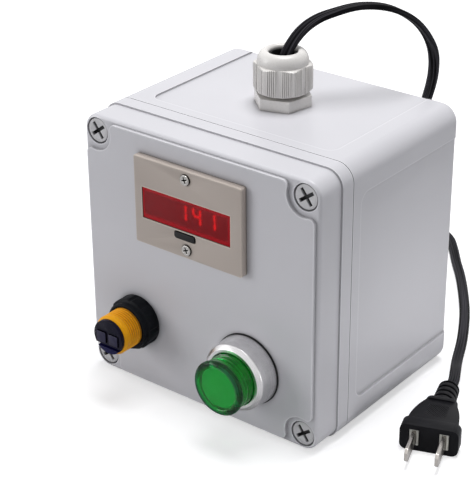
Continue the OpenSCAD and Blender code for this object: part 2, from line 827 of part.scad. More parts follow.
module reset_switch() {
    color("darkslategray") on_panel(counter_x, counter_mid) translate([key_dx, key_dz, board_top]) {
        linear_extrude(switch_h) square(switch_size, center = true);
        cylinder(h = switch_stem_top - board_top, d = switch_stem_d);
    }
}

module counter_screws() {
    head = bezel_t - front_screw_sink;
    top = head + front_screw_head_h;
    color("silver") on_panel(counter_x, counter_mid) at_front_screws() {
        difference() {
            translate([0, 0, head]) cylinder(h = front_screw_head_h, d = front_screw_d);
            for (a = [20, 110]) rotate([0, 0, a])
                translate([-front_slot_l / 2, -front_slot_w / 2, top - front_slot_depth])
                    cube([front_slot_l, front_slot_w, front_slot_depth + cut]);
        }
        translate([0, 0, -panel_t - clamp_t])
            cylinder(h = panel_t + clamp_t + top - front_slot_depth, d = front_screw_shank_d);
    }
}

module counter_clamps() {
    color("dimgray") on_panel(counter_x, counter_mid) for (y = [-1, 1]) difference() {
        low = inner_case_h / 2 + 2 * fit;
        high = cutout_h / 2 + clamp_reach;
        translate([window_dx / 2 - clamp_w / 2, y > 0 ? low : -high, -panel_t - clamp_t])
            cube([clamp_w, high - low, clamp_t]);
        translate([window_dx / 2, y * front_screw_dz, -panel_t - clamp_t - cut])
            cylinder(h = clamp_t + 2 * cut, d = front_screw_shank_d + 2 * fit);
    }
}

module counter_terminals() {
    color("darkgreen") on_panel(counter_x, counter_mid)
        translate([0, terminal_dz, -inner_case_depth - terminal_t]) linear_extrude(terminal_t) difference() {
            square([terminal_count * terminal_pitch + 2, terminal_h], center = true);
            for (i = [0 : terminal_count])
                translate([(i - terminal_count / 2) * terminal_pitch, -terminal_h / 2])
                    circle(terminal_notch_r);
        }
}

// Slotted screw head with its slot in the lower face
module slotted_head(d, h) {
    difference() {
        cylinder(h = h, d = d);
        translate([-d / 2 - cut, -slot_w / 2, -cut]) cube([d + 2 * cut, slot_w, cut + slot_depth]);
    }
}

module terminal_screws() {
    low = -inner_case_depth - terminal_t - terminal_screw_h;
    color("silver") on_panel(counter_x, counter_mid)
        for (i = [0 : terminal_count - 1])
            translate([(i - (terminal_count - 1) / 2) * terminal_pitch, terminal_dz, low])
                slotted_head(terminal_screw_d, terminal_screw_h);
}

module sensor_barrel() {
    front = sensor_reach - face_t;
    color("orange") on_panel(sensor_x, sensor_z) rotate_extrude() polygon([
        [barrel_r - barrel_wall, -sensor_inside], [barrel_r, -sensor_inside],
        [barrel_r, front - barrel_chamfer], [barrel_r - barrel_chamfer, front],
        [0, front], [0, front - barrel_floor], [barrel_r - barrel_wall, front - barrel_floor]
    ]);
}

// Outline of the two lens blocks, widened by c
module lens_outline(c) {
    for (x = [-1, 1]) translate([x * lens_pair_dx, lens_pair_dz])
        square([lens_block_w + 2 * c, lens_block_h + 2 * c], center = true);
}

module sensor_face() {
    color("indigo") on_panel(sensor_x, sensor_z) translate([0, 0, sensor_reach - face_t]) difference() {
        cylinder(h = face_t, r = face_r);
        translate([0, 0, face_t - lens_seat]) linear_extrude(lens_seat + cut) lens_outline(fit);
        translate([-barrel_d, channel_dz - channel_w / 2, face_t - channel_depth])
            cube([2 * barrel_d, channel_w, channel_depth + cut]);
    }
}

module sensor_lenses() {
    color("black") on_panel(sensor_x, sensor_z) translate([0, 0, sensor_reach - lens_seat])
        linear_extrude(lens_seat + lens_stand) lens_outline(0);
}

// Round nut with grip flutes, its wide part on the plane
module round_nut() {
    difference() {
        rotate_extrude() polygon([
            [barrel_r + fit, 0], [nut_d / 2, 0], [nut_d / 2, nut_t], [nut_collar_d / 2, nut_t + nut_chamfer],
            [nut_collar_d / 2, nut_t + nut_collar_t - nut_chamfer],
            [nut_collar_d / 2 - nut_chamfer, nut_t + nut_collar_t],
            [barrel_r + fit, nut_t + nut_collar_t]
        ]);
        for (i = [0 : flute_count - 1]) rotate([0, 0, 360 / flute_count * i])
            translate([nut_d / 2 + flute_r - flute_depth, 0, 1]) cylinder(h = nut_t, r = flute_r);
    }
}

module sensor_front_nut() {
    color("black") on_panel(sensor_x, sensor_z) round_nut();
}

module sensor_rear_nut() {
    color("black") on_panel(sensor_x, sensor_z) translate([0, 0, -panel_t]) mirror([0, 0, 1]) round_nut();
}

module sensor_end_cap() {
    color("black") on_panel(sensor_x, sensor_z) translate([0, 0, -sensor_inside]) {
        translate([0, 0, -end_cap_t]) cylinder(h = end_cap_t, r = end_cap_r);
        cylinder(h = end_cap_plug, r = barrel_r - barrel_wall - fit);
    }
}

module sensor_lead() {
    ends = [[0, 1, 0], [0, 0, 1]];
    color("black") tube_along(smooth(sensor_lead_route, 2), lead_d, lead_d, ends, [[1, 0, 0]], [0, 1, 0]);
}

module button_ring() {
    color("silver") on_panel(button_x, button_z) rotate_extrude() polygon([
        [sleeve_bore_d / 2, sleeve_end], [sleeve_d / 2, sleeve_end], [sleeve_d / 2, gasket_t],
        [ring_d / 2, gasket_t], [ring_front_d / 2, ring_h - ring_bevel],
        [ring_front_d / 2 - ring_bevel, ring_h], [ring_bore_d / 2, ring_h],
        [ring_bore_d / 2, pocket_floor], [sleeve_bore_d / 2, pocket_floor]
    ]);
}

module button_gasket() {
    color("black") on_panel(button_x, button_z) difference() {
        cylinder(h = gasket_t, d = ring_d + 0.8);
        translate([0, 0, -cut]) cylinder(h = gasket_t + 2 * cut, d = sleeve_d + 2 * fit);
    }
}

module button_lens() {
    rim_z = lens_reach - lens_rim_t;
    rim_r = lens_rim_d / 2;
    disc_r = lens_disc_d / 2;
    inner_r = lens_d / 2 - lens_wall;
    color("limegreen") on_panel(button_x, button_z) rotate_extrude() polygon([
        [inner_r, lens_bottom], [lens_d / 2, lens_bottom], [lens_d / 2, rim_z],
        [rim_r, rim_z + lens_edge], [rim_r, lens_reach - lens_edge], [rim_r - lens_edge, lens_reach],
        [disc_r + lens_edge, lens_reach], [disc_r, lens_reach - disc_sink], [0, lens_reach - disc_sink],
        [0, lens_reach - lens_front_t], [disc_r - disc_sink, lens_reach - lens_front_t],
        [disc_r - disc_sink, rim_z - disc_sink], [inner_r, rim_z - lens_wall]
    ]);
}

module button_plunger() {
    color("white") on_panel(button_x, button_z) rotate_extrude() polygon([
        [plunger_bore_d / 2, plunger_end], [plunger_d / 2, plunger_end],
        [plunger_d / 2, lens_bottom - plunger_flange_t], [lens_d / 2 - fit, lens_bottom - plunger_flange_t],
        [lens_d / 2 - fit, lens_bottom], [plunger_bore_d / 2, lens_bottom]
    ]);
}

module button_spring() {
    free = spring_room - slide_fit - fit - spring_wire;
    r = plunger_d / 2 - spring_wire;
    steps = turn_steps * spring_turns;
    low = body_floor + fit + spring_wire / 2;
    coil = [
        for (i = [0 : steps]) let (a = i * 360 / turn_steps) [r * cos(a), r * sin(a), low + free * i / steps]
    ];
    color("silver") on_panel(button_x, button_z)
        tube_along(coil, spring_wire, spring_wire, [[0, 1, 0], [0, 1, 0]], [[0, 0, 1]], [1, 0, 0]);
}

module button_lamp() {
    color("ivory") on_panel(button_x, button_z) rotate_extrude() polygon([
        [0, body_end - lamp_flange_t], [lamp_flange_d / 2, body_end - lamp_flange_t],
        [lamp_flange_d / 2, body_end],
        [lamp_d / 2, body_end], [lamp_d / 2, lamp_top - 8], [lamp_d / 2 - 0.8, lamp_top - 7],
        [lamp_d / 2 - 0.8, lamp_top - 2], [lamp_d / 2 - 2.4, lamp_top], [0, lamp_top]
    ]);
}

module button_nut() {
    color("dimgray") on_panel(button_x, button_z) translate([0, 0, -panel_t - ring_nut_t]) difference() {
        cylinder(h = ring_nut_t, d = sleeve_d + 8, $fn = 6);
        translate([0, 0, -cut]) cylinder(h = ring_nut_t + 2 * cut, d = sleeve_d + 2 * fit);
    }
}

module button_body() {
    color("dimgray") on_panel(button_x, button_z) rotate_extrude() polygon([
        [lamp_d / 2 + fit, body_end], [body_d / 2, body_end], [body_d / 2, body_front],
        [sleeve_d / 2 + fit, body_front], [sleeve_d / 2 + fit, sleeve_end],
        [sleeve_bore_d / 2, sleeve_end], [sleeve_bore_d / 2, body_floor], [lamp_d / 2 + fit, body_floor]
    ]);
}

module button_contacts() {
    color("darkslategray") on_panel(button_x, button_z) translate([0, 0, body_end - contact_t])
        difference() {
            linear_extrude(contact_t) square([contact_w, contact_h], center = true);
            translate([0, 0, contact_t - lamp_flange_t - fit])
                cylinder(h = lamp_flange_t + fit + cut, d = lamp_flange_d + 2 * fit);
            for (x = [-1, 1], y = [-1, 1]) translate([x * contact_dx, y * contact_dy, -cut])
                cylinder(h = contact_pocket + cut, d = contact_pocket_d);
        }
}

module contact_screws() {
    color("gold") on_panel(button_x, button_z)
        for (x = [-1, 1], y = [-1, 1])
            translate([x * contact_dx, y * contact_dy, body_end - contact_t + contact_pocket])
                translate([0, 0, -contact_screw_h]) slotted_head(contact_screw_d, contact_screw_h);
}

module button_lead() {
    ends = [[0, 0, 1], [0, 0, 1]];
    color("red") tube_along(smooth(button_lead_route, 2), lead_d, lead_d, ends, [[1, 0, 0]], [0, 1, 0]);
}

// Section of the dome over the hexagon, with a round shoulder from its side and a round lip into the opening
module dome_profile() {
    side = dome_d / 2;
    bore = dome_hole_d / 2;
    low = dome_hex_top + dome_side_h;
    shoulder = dome_h - dome_side_h;
    across = side - bore - dome_lip_r;
    polygon(concat(
        [[bore, dome_hex_top - fit], [side, dome_hex_top - fit]],
        [for (a = [0 : 10 : 90]) [side - across + across * cos(a), low + shoulder * sin(a)]],
        [for (a = [0 : 15 : 90]) [bore + dome_lip_r * (1 - sin(a)), dome_top - dome_lip_r * (1 - cos(a))]]
    ));
}

// One flat of the dome nut, with a group of ribs on each side of its bare middle
function ribbed_flat(k) = [
    for (i = [0 : rib_count - 1], c = [[-1, 0], [-1, 1], [1, 1], [1, 0]])
        let (
            side = i < rib_count / 2 ? -1 : 1,
            along = (i - (rib_count - 1) / 2) * rib_pitch + side * rib_bare / 2 + c[0] * rib_w / 2,
            out = gland_af / 2 + c[1] * rib_t
        )
        [out * cos(60 * k) - along * sin(60 * k), out * sin(60 * k) + along * cos(60 * k)]
];
// Corner of the dome nut's hexagon
function hex_corner(k) = gland_af / sqrt(3) * [cos(60 * k + 30), sin(60 * k + 30)];

module gland_body() {
    color("antiquewhite") on_top() difference() {
        union() {
            rotate([0, 0, gland_base_turn]) cylinder(h = gland_base_h, d = gland_af * 2 / sqrt(3), $fn = 6);
            translate([0, 0, -gland_inside - wall])
                cylinder(h = gland_inside + wall + cut, d = gland_thread_d);
            cylinder(h = dome_bottom + gland_seal_lift, d = dome_thread_d - 0.6);
        }
        translate([0, 0, -gland_inside - wall - cut])
            cylinder(h = gland_inside + wall + dome_bottom + gland_seal_lift + 2 * cut, d = gland_bore_d);
    }
}

module gland_dome_nut() {
    color("antiquewhite") on_top() {
        difference() {
            union() {
                intersection() {
                    translate([0, 0, dome_bottom]) rotate([0, 0, dome_turn]) linear_extrude(dome_hex_h)
                        polygon([for (k = [0 : 5]) each concat(ribbed_flat(k), [hex_corner(k)])]);
                    rotate_extrude() polygon([
                        [0, dome_bottom], [gland_af / 2 + fit, dome_bottom],
                        [gland_af * 0.6, dome_bottom + 1.6 * hex_chamfer],
                        [gland_af * 0.6, dome_hex_top - hex_chamfer],
                        [gland_af / 2 + fit, dome_hex_top], [0, dome_hex_top]
                    ]);
                }
                rotate_extrude() dome_profile();
            }
            translate([0, 0, dome_bottom - cut]) cylinder(h = dome_hex_h - 2 + cut, d = dome_thread_d);
            cylinder(h = dome_top + cut, d = dome_hole_d);
        }
    }
}

module gland_seal() {
    seal_h = dome_hex_h - gland_seal_lift;
    sleeve_h = dome_h - seal_sink;
    color("dimgray") on_top() translate([0, 0, dome_bottom + gland_seal_lift]) difference() {
        cylinder(h = seal_h + sleeve_h, d = dome_hole_d - 2 * fit);
        translate([0, 0, -cut]) rotate([0, 0, exit_turn]) linear_extrude(seal_h + 2 * cut)
            round_rect(cord_t + 4 * fit, cord_w + 4 * fit, cord_t / 2);
        translate([0, 0, seal_h]) cylinder(h = sleeve_h + cut, d = seal_sleeve_d);
    }
}

module gland_lock_nut() {
    color("antiquewhite") on_top() translate([0, 0, recess_t - wall - lid_step - lock_nut_t]) difference() {
        cylinder(h = lock_nut_t, d = gland_af * 2 / sqrt(3), $fn = 6);
        translate([0, 0, -cut]) cylinder(h = lock_nut_t + 2 * cut, d = gland_thread_d + 2 * fit);
    }
}

module cord_tail() {
    ends = [[0, 0, -1], [0, 0, -1]];
    flat = [sin(exit_turn), -cos(exit_turn), 0];
    color("black") tube_along(smooth(tail_route, 2), cord_w, cord_t, ends, [[0, 0, 1]], flat);
}

module power_cord() {
    ends = [[0, 0, 1], [sin(plug_turn), -cos(plug_turn), 0]];
    flat = [-sin(exit_turn), cos(exit_turn), 0];
    outward = [-cos(exit_turn), -sin(exit_turn), exit_lean];
    refs = [
        for (i = [0 : twist_rings]) let (s = i / twist_rings) unit(outward * (1 - s) + [0, 0, 1] * s)
    ];
    color("black") tube_along(smooth(cord_route, 2), cord_w, cord_t, ends, refs, flat);
}

module plug_body() {
    color("black") at_plug() difference() {
        union() {
            translate([0, plug_base_l, 0]) rotate([90, 0, 0]) linear_extrude(plug_base_l)
                round_rect(plug_w, plug_h, plug_corner_r);
            plug_grip();
            plug_relief();
        }
        translate([0, core_l, 0]) rotate([90, 0, 0]) linear_extrude(core_l + cut) core_outline(fit);
    }
}

// Tapered grip: its plan outline with bulging sides, cut to a falling side outline
module plug_grip() {
    side_h = collar_h / 2 - 0.8;
    intersection() {
        translate([0, 0, -plug_h]) linear_extrude(2 * plug_h) intersection() {
            translate([-plug_w, 1]) square([2 * plug_w, plug_grip_l - 1]);
            translate([grip_w / 2 - grip_round_r, plug_base_l]) circle(grip_round_r);
            translate([grip_round_r - grip_w / 2, plug_base_l]) circle(grip_round_r);
        }
        rotate([90, 0, 90]) translate([0, 0, -plug_w]) linear_extrude(2 * plug_w) polygon([
            [1, 1 - plug_h / 2], [plug_grip_l, -side_h], [plug_grip_l, side_h], [1, plug_h / 2 - 1]
        ]);
    }
    translate([0, plug_grip_l + collar_l - 1, 0]) rotate([90, 0, 0]) linear_extrude(collar_l)
        round_rect(collar_w, collar_h, plug_corner_r);
}

// Ribbed strain relief, turned about the plug's axis
module plug_relief() {
    start = plug_grip_l;
    pitch = (plug_l - start - 2) / groove_count;
    rotate([-90, 0, 0]) rotate_extrude() polygon(concat(
        [[0, start]],
        [
            for (i = [0 : groove_count - 1], c = [[0, 0], [groove_share, 0], [groove_share, 1], [1, 1]])
                let (
                    y = start + 1 + pitch * (i + c[0]),
                    r = relief_d / 2 + (relief_end_d - relief_d) / 2 * (y - start) / (plug_l - start)
                )
                [r - groove_depth * c[1], y]
        ],
        [
            [relief_end_d / 2, plug_l - 1], [relief_end_d / 2, plug_l - relief_edge],
            [relief_end_d / 2 - relief_edge, plug_l], [0, plug_l]
        ]
    ));
}

// Outline of the light core at the two blade roots, widened by c
module core_outline(c) {
    for (x = [-1, 1]) translate([x * blade_pitch / 2, 0])
        square([pad_w + 2 * c, pad_h + 2 * c], center = true);
}

module plug_core() {
    color("lightgray") at_plug() difference() {
        translate([0, core_l - fit, 0]) rotate([90, 0, 0])
            linear_extrude(core_l - fit - core_sink) core_outline(0);
        for (x = [-1, 1]) translate([x * blade_pitch / 2, core_l / 2 - cut, 0])
            cube([blade_t + 2 * fit, core_l + 2 * cut, blade_h + 2 * fit], center = true);
    }
}

module plug_blades() {
    color("silver") at_plug() for (x = [-1, 1]) translate([x * blade_pitch / 2 - blade_t / 2, 0, 0])
        rotate([90, 0, 90]) linear_extrude(blade_t) polygon([
            [core_l - blade_root, -blade_h / 2], [core_l - blade_root, blade_h / 2],
            [blade_taper_l - blade_l, blade_h / 2], [-blade_l, blade_h / 2 - blade_taper],
            [-blade_l, blade_taper - blade_h / 2], [blade_taper_l - blade_l, -blade_h / 2]
        ]);
}

case_base();
case_lid();
lid_seal();
lid_screws();
counter_bezel();
counter_window();
counter_case();
counter_display();
display_segments();
counter_board();
reset_key();
reset_switch();
counter_screws();
counter_clamps();
counter_terminals();
terminal_screws();
sensor_barrel();
sensor_face();
sensor_lenses();
sensor_front_nut();
sensor_rear_nut();
sensor_end_cap();
sensor_lead();
button_ring();
button_gasket();
button_lens();
button_plunger();
button_spring();
button_lamp();
button_nut();
button_body();
button_contacts();
contact_screws();
button_lead();
gland_body();
gland_dome_nut();
gland_seal();
gland_lock_nut();
cord_tail();
power_cord();
plug_body();
plug_core();
plug_blades();
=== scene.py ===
import json
import math

import bmesh
import bpy
import numpy as np
from mathutils import Matrix, Vector


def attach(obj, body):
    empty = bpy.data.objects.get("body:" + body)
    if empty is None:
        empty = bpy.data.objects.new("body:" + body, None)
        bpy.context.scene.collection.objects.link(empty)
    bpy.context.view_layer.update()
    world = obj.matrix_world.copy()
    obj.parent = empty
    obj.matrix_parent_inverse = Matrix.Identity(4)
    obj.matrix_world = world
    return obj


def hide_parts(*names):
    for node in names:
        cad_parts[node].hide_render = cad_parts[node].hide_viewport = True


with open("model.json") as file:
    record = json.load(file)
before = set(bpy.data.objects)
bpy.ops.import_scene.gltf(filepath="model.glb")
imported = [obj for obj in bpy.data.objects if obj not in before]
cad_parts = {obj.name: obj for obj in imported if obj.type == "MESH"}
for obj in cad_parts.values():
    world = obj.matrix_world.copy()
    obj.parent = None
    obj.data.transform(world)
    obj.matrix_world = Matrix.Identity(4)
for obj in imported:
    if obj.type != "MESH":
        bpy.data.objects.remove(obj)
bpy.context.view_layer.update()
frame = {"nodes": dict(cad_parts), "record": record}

# Sizes in metres, the same as the solids have
MM = 0.001
FRONT_Y = -38.75 * MM
PANEL_Y = -40.25 * MM
SCREW_FACE_Y = FRONT_Y + 0.4 * MM
COUNTER_X = -1.9 * MM
COUNTER_Z = 94.3 * MM
BEZEL_FACE_Y = PANEL_Y - 3.4 * MM
WINDOW_DX = -0.8 * MM
WINDOW_DZ = -0.7 * MM
WINDOW_W = 47 * MM
WINDOW_H = 14.3 * MM
SENSOR_X = -33.7 * MM
SENSOR_Z = 33.1 * MM
LENS_FACE_Y = PANEL_Y - 21 * MM
BUTTON_X = 26.8 * MM
BUTTON_Z = 30.3 * MM
CORD_W = 5 * MM
CORD_T = 3 * MM
PLUG_FACE = (97.2 * MM, -8.5 * MM, 6.2 * MM)
PLUG_TURN = math.radians(20)

# Route of the cord from the gland's seal to the plug, in millimetres
CORD_ROUTE = [
    (0, 19.25, 142.9), (1.2, 22.05, 148.8), (3.5, 26.05, 154.6), (7, 30.65, 159), (12, 36.25, 162),
    (20.5, 46.05, 164.4), (28.1, 58.05, 161.6), (32.5, 71.85, 152.5), (34.6, 81.65, 139.6),
    (32.1, 88.45, 125), (25.2, 94.65, 107.2), (14.9, 100.45, 84.9), (4.3, 106.05, 63.9),
    (-6.3, 111.65, 45.4), (-16.9, 117.25, 30.3), (-26.4, 122.45, 19.1), (-34.8, 129.65, 10.7),
    (-39.3, 140.65, 4.8), (-38.4, 152.45, 2), (-32, 162.45, 1.7), (-21.7, 168.45, 1.7),
    (-9.9, 169.05, 1.7), (0.9, 164.05, 1.7), (9.6, 154.45, 1.7), (18.5, 142.85, 1.7),
    (28.6, 130.25, 1.7), (39.6, 114.85, 1.7), (50.3, 98.25, 1.7), (61.135, 78.167, 1.7),
    (69.535, 59.867, 2), (75.635, 48.167, 4.3), (80.635, 38.367, 5.7), (82.835, 30.967, 6.2),
]
# The cord's flat side faces this way as it leaves the gland, and upwards from the top of its arch on
CORD_EXIT_FACING = np.array([-math.cos(math.radians(128)), -math.sin(math.radians(128)), 0.5])
CORD_TWIST_STEPS = 5

# Camera of the photograph: angles, place in millimetres, focal length and image height in pixels,
# and the film's height in millimetres
CAMERA_TURN = math.radians(38.53)
CAMERA_DIP = math.radians(27.04)
CAMERA_ROLL = math.radians(-0.51)
CAMERA_PLACE = (386.7, -499.75, 386.8)
FOCAL_PIXELS = 1626
IMAGE_HEIGHT = 488
FILM_HEIGHT = 36

# Limits in the shapes: points that are joined, slivers that are dropped, faces that count as one,
# edges that are rounded, and seams of new pieces that are closed
JOIN_DISTANCE = 2e-6
SLIVER_LENGTH = 1e-6
ONE_FACE_ANGLE = math.radians(0.4)
SHARP_EDGE_ANGLE = math.radians(32)
SEAM_DISTANCE = 1e-7


# Camera, floor and light

def photo_camera():
    """Camera of the photograph, from its place, level turn, dip, roll and focal length."""
    ahead = Vector((
        -math.sin(CAMERA_TURN) * math.cos(CAMERA_DIP), math.cos(CAMERA_TURN) * math.cos(CAMERA_DIP),
        -math.sin(CAMERA_DIP)))
    level = Vector((math.cos(CAMERA_TURN), math.sin(CAMERA_TURN), 0))
    above = level.cross(ahead)
    right = level * math.cos(CAMERA_ROLL) + above * math.sin(CAMERA_ROLL)
    up = above * math.cos(CAMERA_ROLL) - level * math.sin(CAMERA_ROLL)
    data = bpy.data.cameras.new("photo_camera")
    data.sensor_width = FILM_HEIGHT
    data.lens = FOCAL_PIXELS / IMAGE_HEIGHT * FILM_HEIGHT
    data.clip_end = 20
    camera = bpy.data.objects.new("photo_camera", data)
    turned = Matrix((right, up, -ahead)).transposed().to_4x4()
    turned.translation = Vector(CAMERA_PLACE) * MM
    camera.matrix_world = turned
    bpy.context.collection.objects.link(camera)
    bpy.context.scene.camera = camera


def soft_lamp(name, place, aim, size, power, spread=180):
    """Square area lamp at a place, facing its aim, with its light kept within a spread in degrees."""
    data = bpy.data.lights.new(name, "AREA")
    data.shape = "SQUARE"
    data.size = size
    data.energy = power
    data.spread = math.radians(spread)
    lamp = bpy.data.objects.new(name, data)
    lamp.location = place
    lamp.rotation_euler = (Vector(aim) - Vector(place)).to_track_quat("-Z", "Y").to_euler()
    bpy.context.collection.objects.link(lamp)


def studio_light():
    """Lamp over the object, a wide one far off at the left, a small one low at the right, and an even
    grey surround that looks white."""
    bpy.context.scene.view_settings.view_transform = "Standard"
    soft_lamp("lamp_above", place=(0.02, 0.14, 1.0), aim=(0.02, 0.04, 0.05), size=0.45, power=7.8)
    soft_lamp("lamp_left", place=(-1.2, -1.1, 0.5), aim=(0, 0, 0.06), size=0.9, power=10)
    soft_lamp(
        "lamp_right", place=(0.42, 0.0, 0.03), aim=(0.06, 0.03, 0), size=0.12, power=0.028, spread=36)
    world = bpy.data.worlds.new("white_surround")
    bpy.context.scene.world = world
    world.use_nodes = True
    nodes = world.node_tree.nodes
    links = world.node_tree.links
    nodes.clear()
    out = nodes.new("ShaderNodeOutputWorld")
    fill = nodes.new("ShaderNodeBackground")
    fill.inputs["Color"].default_value = (0.97, 0.98, 1, 1)
    fill.inputs["Strength"].default_value = 0.28
    white = nodes.new("ShaderNodeBackground")
    white.inputs["Color"].default_value = (1, 1, 1, 1)
    white.inputs["Strength"].default_value = 1
    mix = nodes.new("ShaderNodeMixShader")
    links.new(seen_straight(nodes, links), mix.inputs[0])
    links.new(fill.outputs[0], mix.inputs[1])
    links.new(white.outputs[0], mix.inputs[2])
    links.new(mix.outputs[0], out.inputs[0])


def seen_straight(nodes, links):
    """1 where the camera sees the background, straight, by reflection or through clear plastic."""
    path = nodes.new("ShaderNodeLightPath")
    first = nodes.new("ShaderNodeMath")
    first.operation = "MAXIMUM"
    second = nodes.new("ShaderNodeMath")
    second.operation = "MAXIMUM"
    links.new(path.outputs["Is Camera Ray"], first.inputs[0])
    links.new(path.outputs["Is Glossy Ray"], first.inputs[1])
    links.new(first.outputs[0], second.inputs[0])
    links.new(path.outputs["Is Transmission Ray"], second.inputs[1])
    return second.outputs[0]


def white_floor():
    """Wide flat floor under the object; it keeps the object's shadow, looks white to the camera, and
    glows more far away."""
    reach = 6.0
    mesh = bpy.data.meshes.new("floor")
    corners = [(-reach, -reach, 0), (reach, -reach, 0), (reach, reach, 0), (-reach, reach, 0)]
    mesh.from_pydata(corners, [], [(0, 1, 2, 3)])
    floor = bpy.data.objects.new("floor", mesh)
    bpy.context.collection.objects.link(floor)
    material = bpy.data.materials.new("floor_white")
    material.use_nodes = True
    nodes = material.node_tree.nodes
    links = material.node_tree.links
    nodes.clear()
    out = nodes.new("ShaderNodeOutputMaterial")
    matt = nodes.new("ShaderNodeBsdfDiffuse")
    matt.inputs["Color"].default_value = (0.72, 0.72, 0.73, 1)
    glow = nodes.new("ShaderNodeEmission")
    place = nodes.new("ShaderNodeTexCoord")
    away = nodes.new("ShaderNodeVectorMath")
    away.operation = "LENGTH"
    links.new(place.outputs["Object"], away.inputs[0])
    whiter = nodes.new("ShaderNodeMapRange")
    whiter.inputs["From Min"].default_value = 0.3
    whiter.inputs["From Max"].default_value = 1.2
    whiter.inputs["To Min"].default_value = 0.52
    whiter.inputs["To Max"].default_value = 0.9
    links.new(away.outputs["Value"], whiter.inputs["Value"])
    links.new(whiter.outputs[0], glow.inputs["Strength"])
    both = nodes.new("ShaderNodeAddShader")
    mix = nodes.new("ShaderNodeMixShader")
    links.new(matt.outputs[0], both.inputs[0])
    links.new(glow.outputs[0], both.inputs[1])
    path = nodes.new("ShaderNodeLightPath")
    links.new(path.outputs["Is Camera Ray"], mix.inputs[0])
    links.new(matt.outputs[0], mix.inputs[1])
    links.new(both.outputs[0], mix.inputs[2])
    links.new(mix.outputs[0], out.inputs[0])
    mesh.materials.append(material)


# Materials

class Finish:
    """Node tree of one finish: a Principled shader on Object coordinates."""

    def __init__(self, name):
        self.material = bpy.data.materials.new(name)
        self.material.use_nodes = True
        self.nodes = self.material.node_tree.nodes
        self.links = self.material.node_tree.links
        self.nodes.clear()
        out = self.nodes.new("ShaderNodeOutputMaterial")
        self.shader = self.nodes.new("ShaderNodeBsdfPrincipled")
        self.links.new(self.shader.outputs[0], out.inputs["Surface"])
        self.place = self.nodes.new("ShaderNodeTexCoord").outputs["Object"]

    def set(self, **values):
        """Sets sockets of the shader, named with underscores."""
        for key, value in values.items():
            self.shader.inputs[key.replace("_", " ")].default_value = value

    def stretched(self, centre, scale):
        """Object coordinates moved to a centre and scaled along each axis."""
        mapping = self.nodes.new("ShaderNodeMapping")
        mapping.vector_type = "POINT"
        mapping.inputs["Scale"].default_value = scale
        mapping.inputs["Location"].default_value = [-c * s for c, s in zip(centre, scale)]
        self.links.new(self.place, mapping.inputs["Vector"])
        return mapping.outputs[0]

    def counted_from(self, centre):
        """X, Y and Z of the Object coordinates, counted from a centre."""
        return self.axes(self.stretched(centre, (1, 1, 1)))

    def placed(self, centre, turn):
        """Object coordinates counted from a centre and turned back about the vertical."""
        mapping = self.nodes.new("ShaderNodeMapping")
        mapping.vector_type = "TEXTURE"
        mapping.inputs["Location"].default_value = centre
        mapping.inputs["Rotation"].default_value = (0, 0, turn)
        self.links.new(self.place, mapping.inputs["Vector"])
        return mapping.outputs[0]

    def radius(self, x, z):
        """Distance from an axis along Y."""
        square_x = self.calculated("MULTIPLY", x, x)
        square_z = self.calculated("MULTIPLY", z, z)
        return self.calculated("SQRT", self.calculated("ADD", square_x, square_z))

    def speckle(self, size, detail, place=None):
        """Noise of a grain size in metres."""
        noise = self.nodes.new("ShaderNodeTexNoise")
        noise.inputs["Scale"].default_value = 1 / size
        noise.inputs["Detail"].default_value = detail
        self.links.new(place or self.place, noise.inputs["Vector"])
        return noise.outputs["Fac"]

    def ranged(self, value, low, high, start=0.3, end=0.7):
        """A value from start to end, carried to low and high and kept between them."""
        node = self.nodes.new("ShaderNodeMapRange")
        node.inputs["From Min"].default_value = start
        node.inputs["From Max"].default_value = end
        node.inputs["To Min"].default_value = low
        node.inputs["To Max"].default_value = high
        self.links.new(value, node.inputs["Value"])
        return node.outputs[0]

    def calculated(self, operation, first, second=0):
        """One sum of one or two values, each a socket or a number."""
        node = self.nodes.new("ShaderNodeMath")
        node.operation = operation
        for socket, value in zip(node.inputs, (first, second)):
            if isinstance(value, (int, float)):
                socket.default_value = value
            else:
                self.links.new(value, socket)
        return node.outputs[0]

    def between(self, factor, first, second):
        """Colour between two colours by a factor."""
        node = self.nodes.new("ShaderNodeMix")
        node.data_type = "RGBA"
        for socket, value in zip((node.inputs[6], node.inputs[7]), (first, second)):
            if isinstance(value, (tuple, list)):
                socket.default_value = (*value, 1)
            else:
                self.links.new(value, socket)
        self.links.new(factor, node.inputs[0])
        return node.outputs[2]

    def feed(self, name, value):
        """Joins a value to a socket of the shader."""
        self.links.new(value, self.shader.inputs[name])

    def tint(self, factor, colour):
        """Carries the shader's colour so far to another colour by a factor."""
        so_far = self.shader.inputs["Base Color"].links[0].from_socket
        self.feed("Base Color", self.between(factor, so_far, colour))

    def raised(self, height, depth):
        """Bump of a depth in metres."""
        node = self.nodes.new("ShaderNodeBump")
        node.inputs["Strength"].default_value = 1
        node.inputs["Distance"].default_value = depth
        self.links.new(height, node.inputs["Height"])
        self.links.new(node.outputs[0], self.shader.inputs["Normal"])

    def corner(self, reach, outer=False, start=0.55):
        """1 in an inner corner or seam, or on an outer edge, and 0 with nothing near within a reach."""
        open_share = 0.95
        node = self.nodes.new("ShaderNodeAmbientOcclusion")
        node.samples = 8
        node.inside = outer
        node.inputs["Distance"].default_value = reach
        return self.ranged(node.outputs["AO"], 1, 0, start, open_share)

    def axes(self, place=None):
        """X, Y and Z of the coordinates."""
        node = self.nodes.new("ShaderNodeSeparateXYZ")
        self.links.new(place or self.place, node.inputs[0])
        return node.outputs


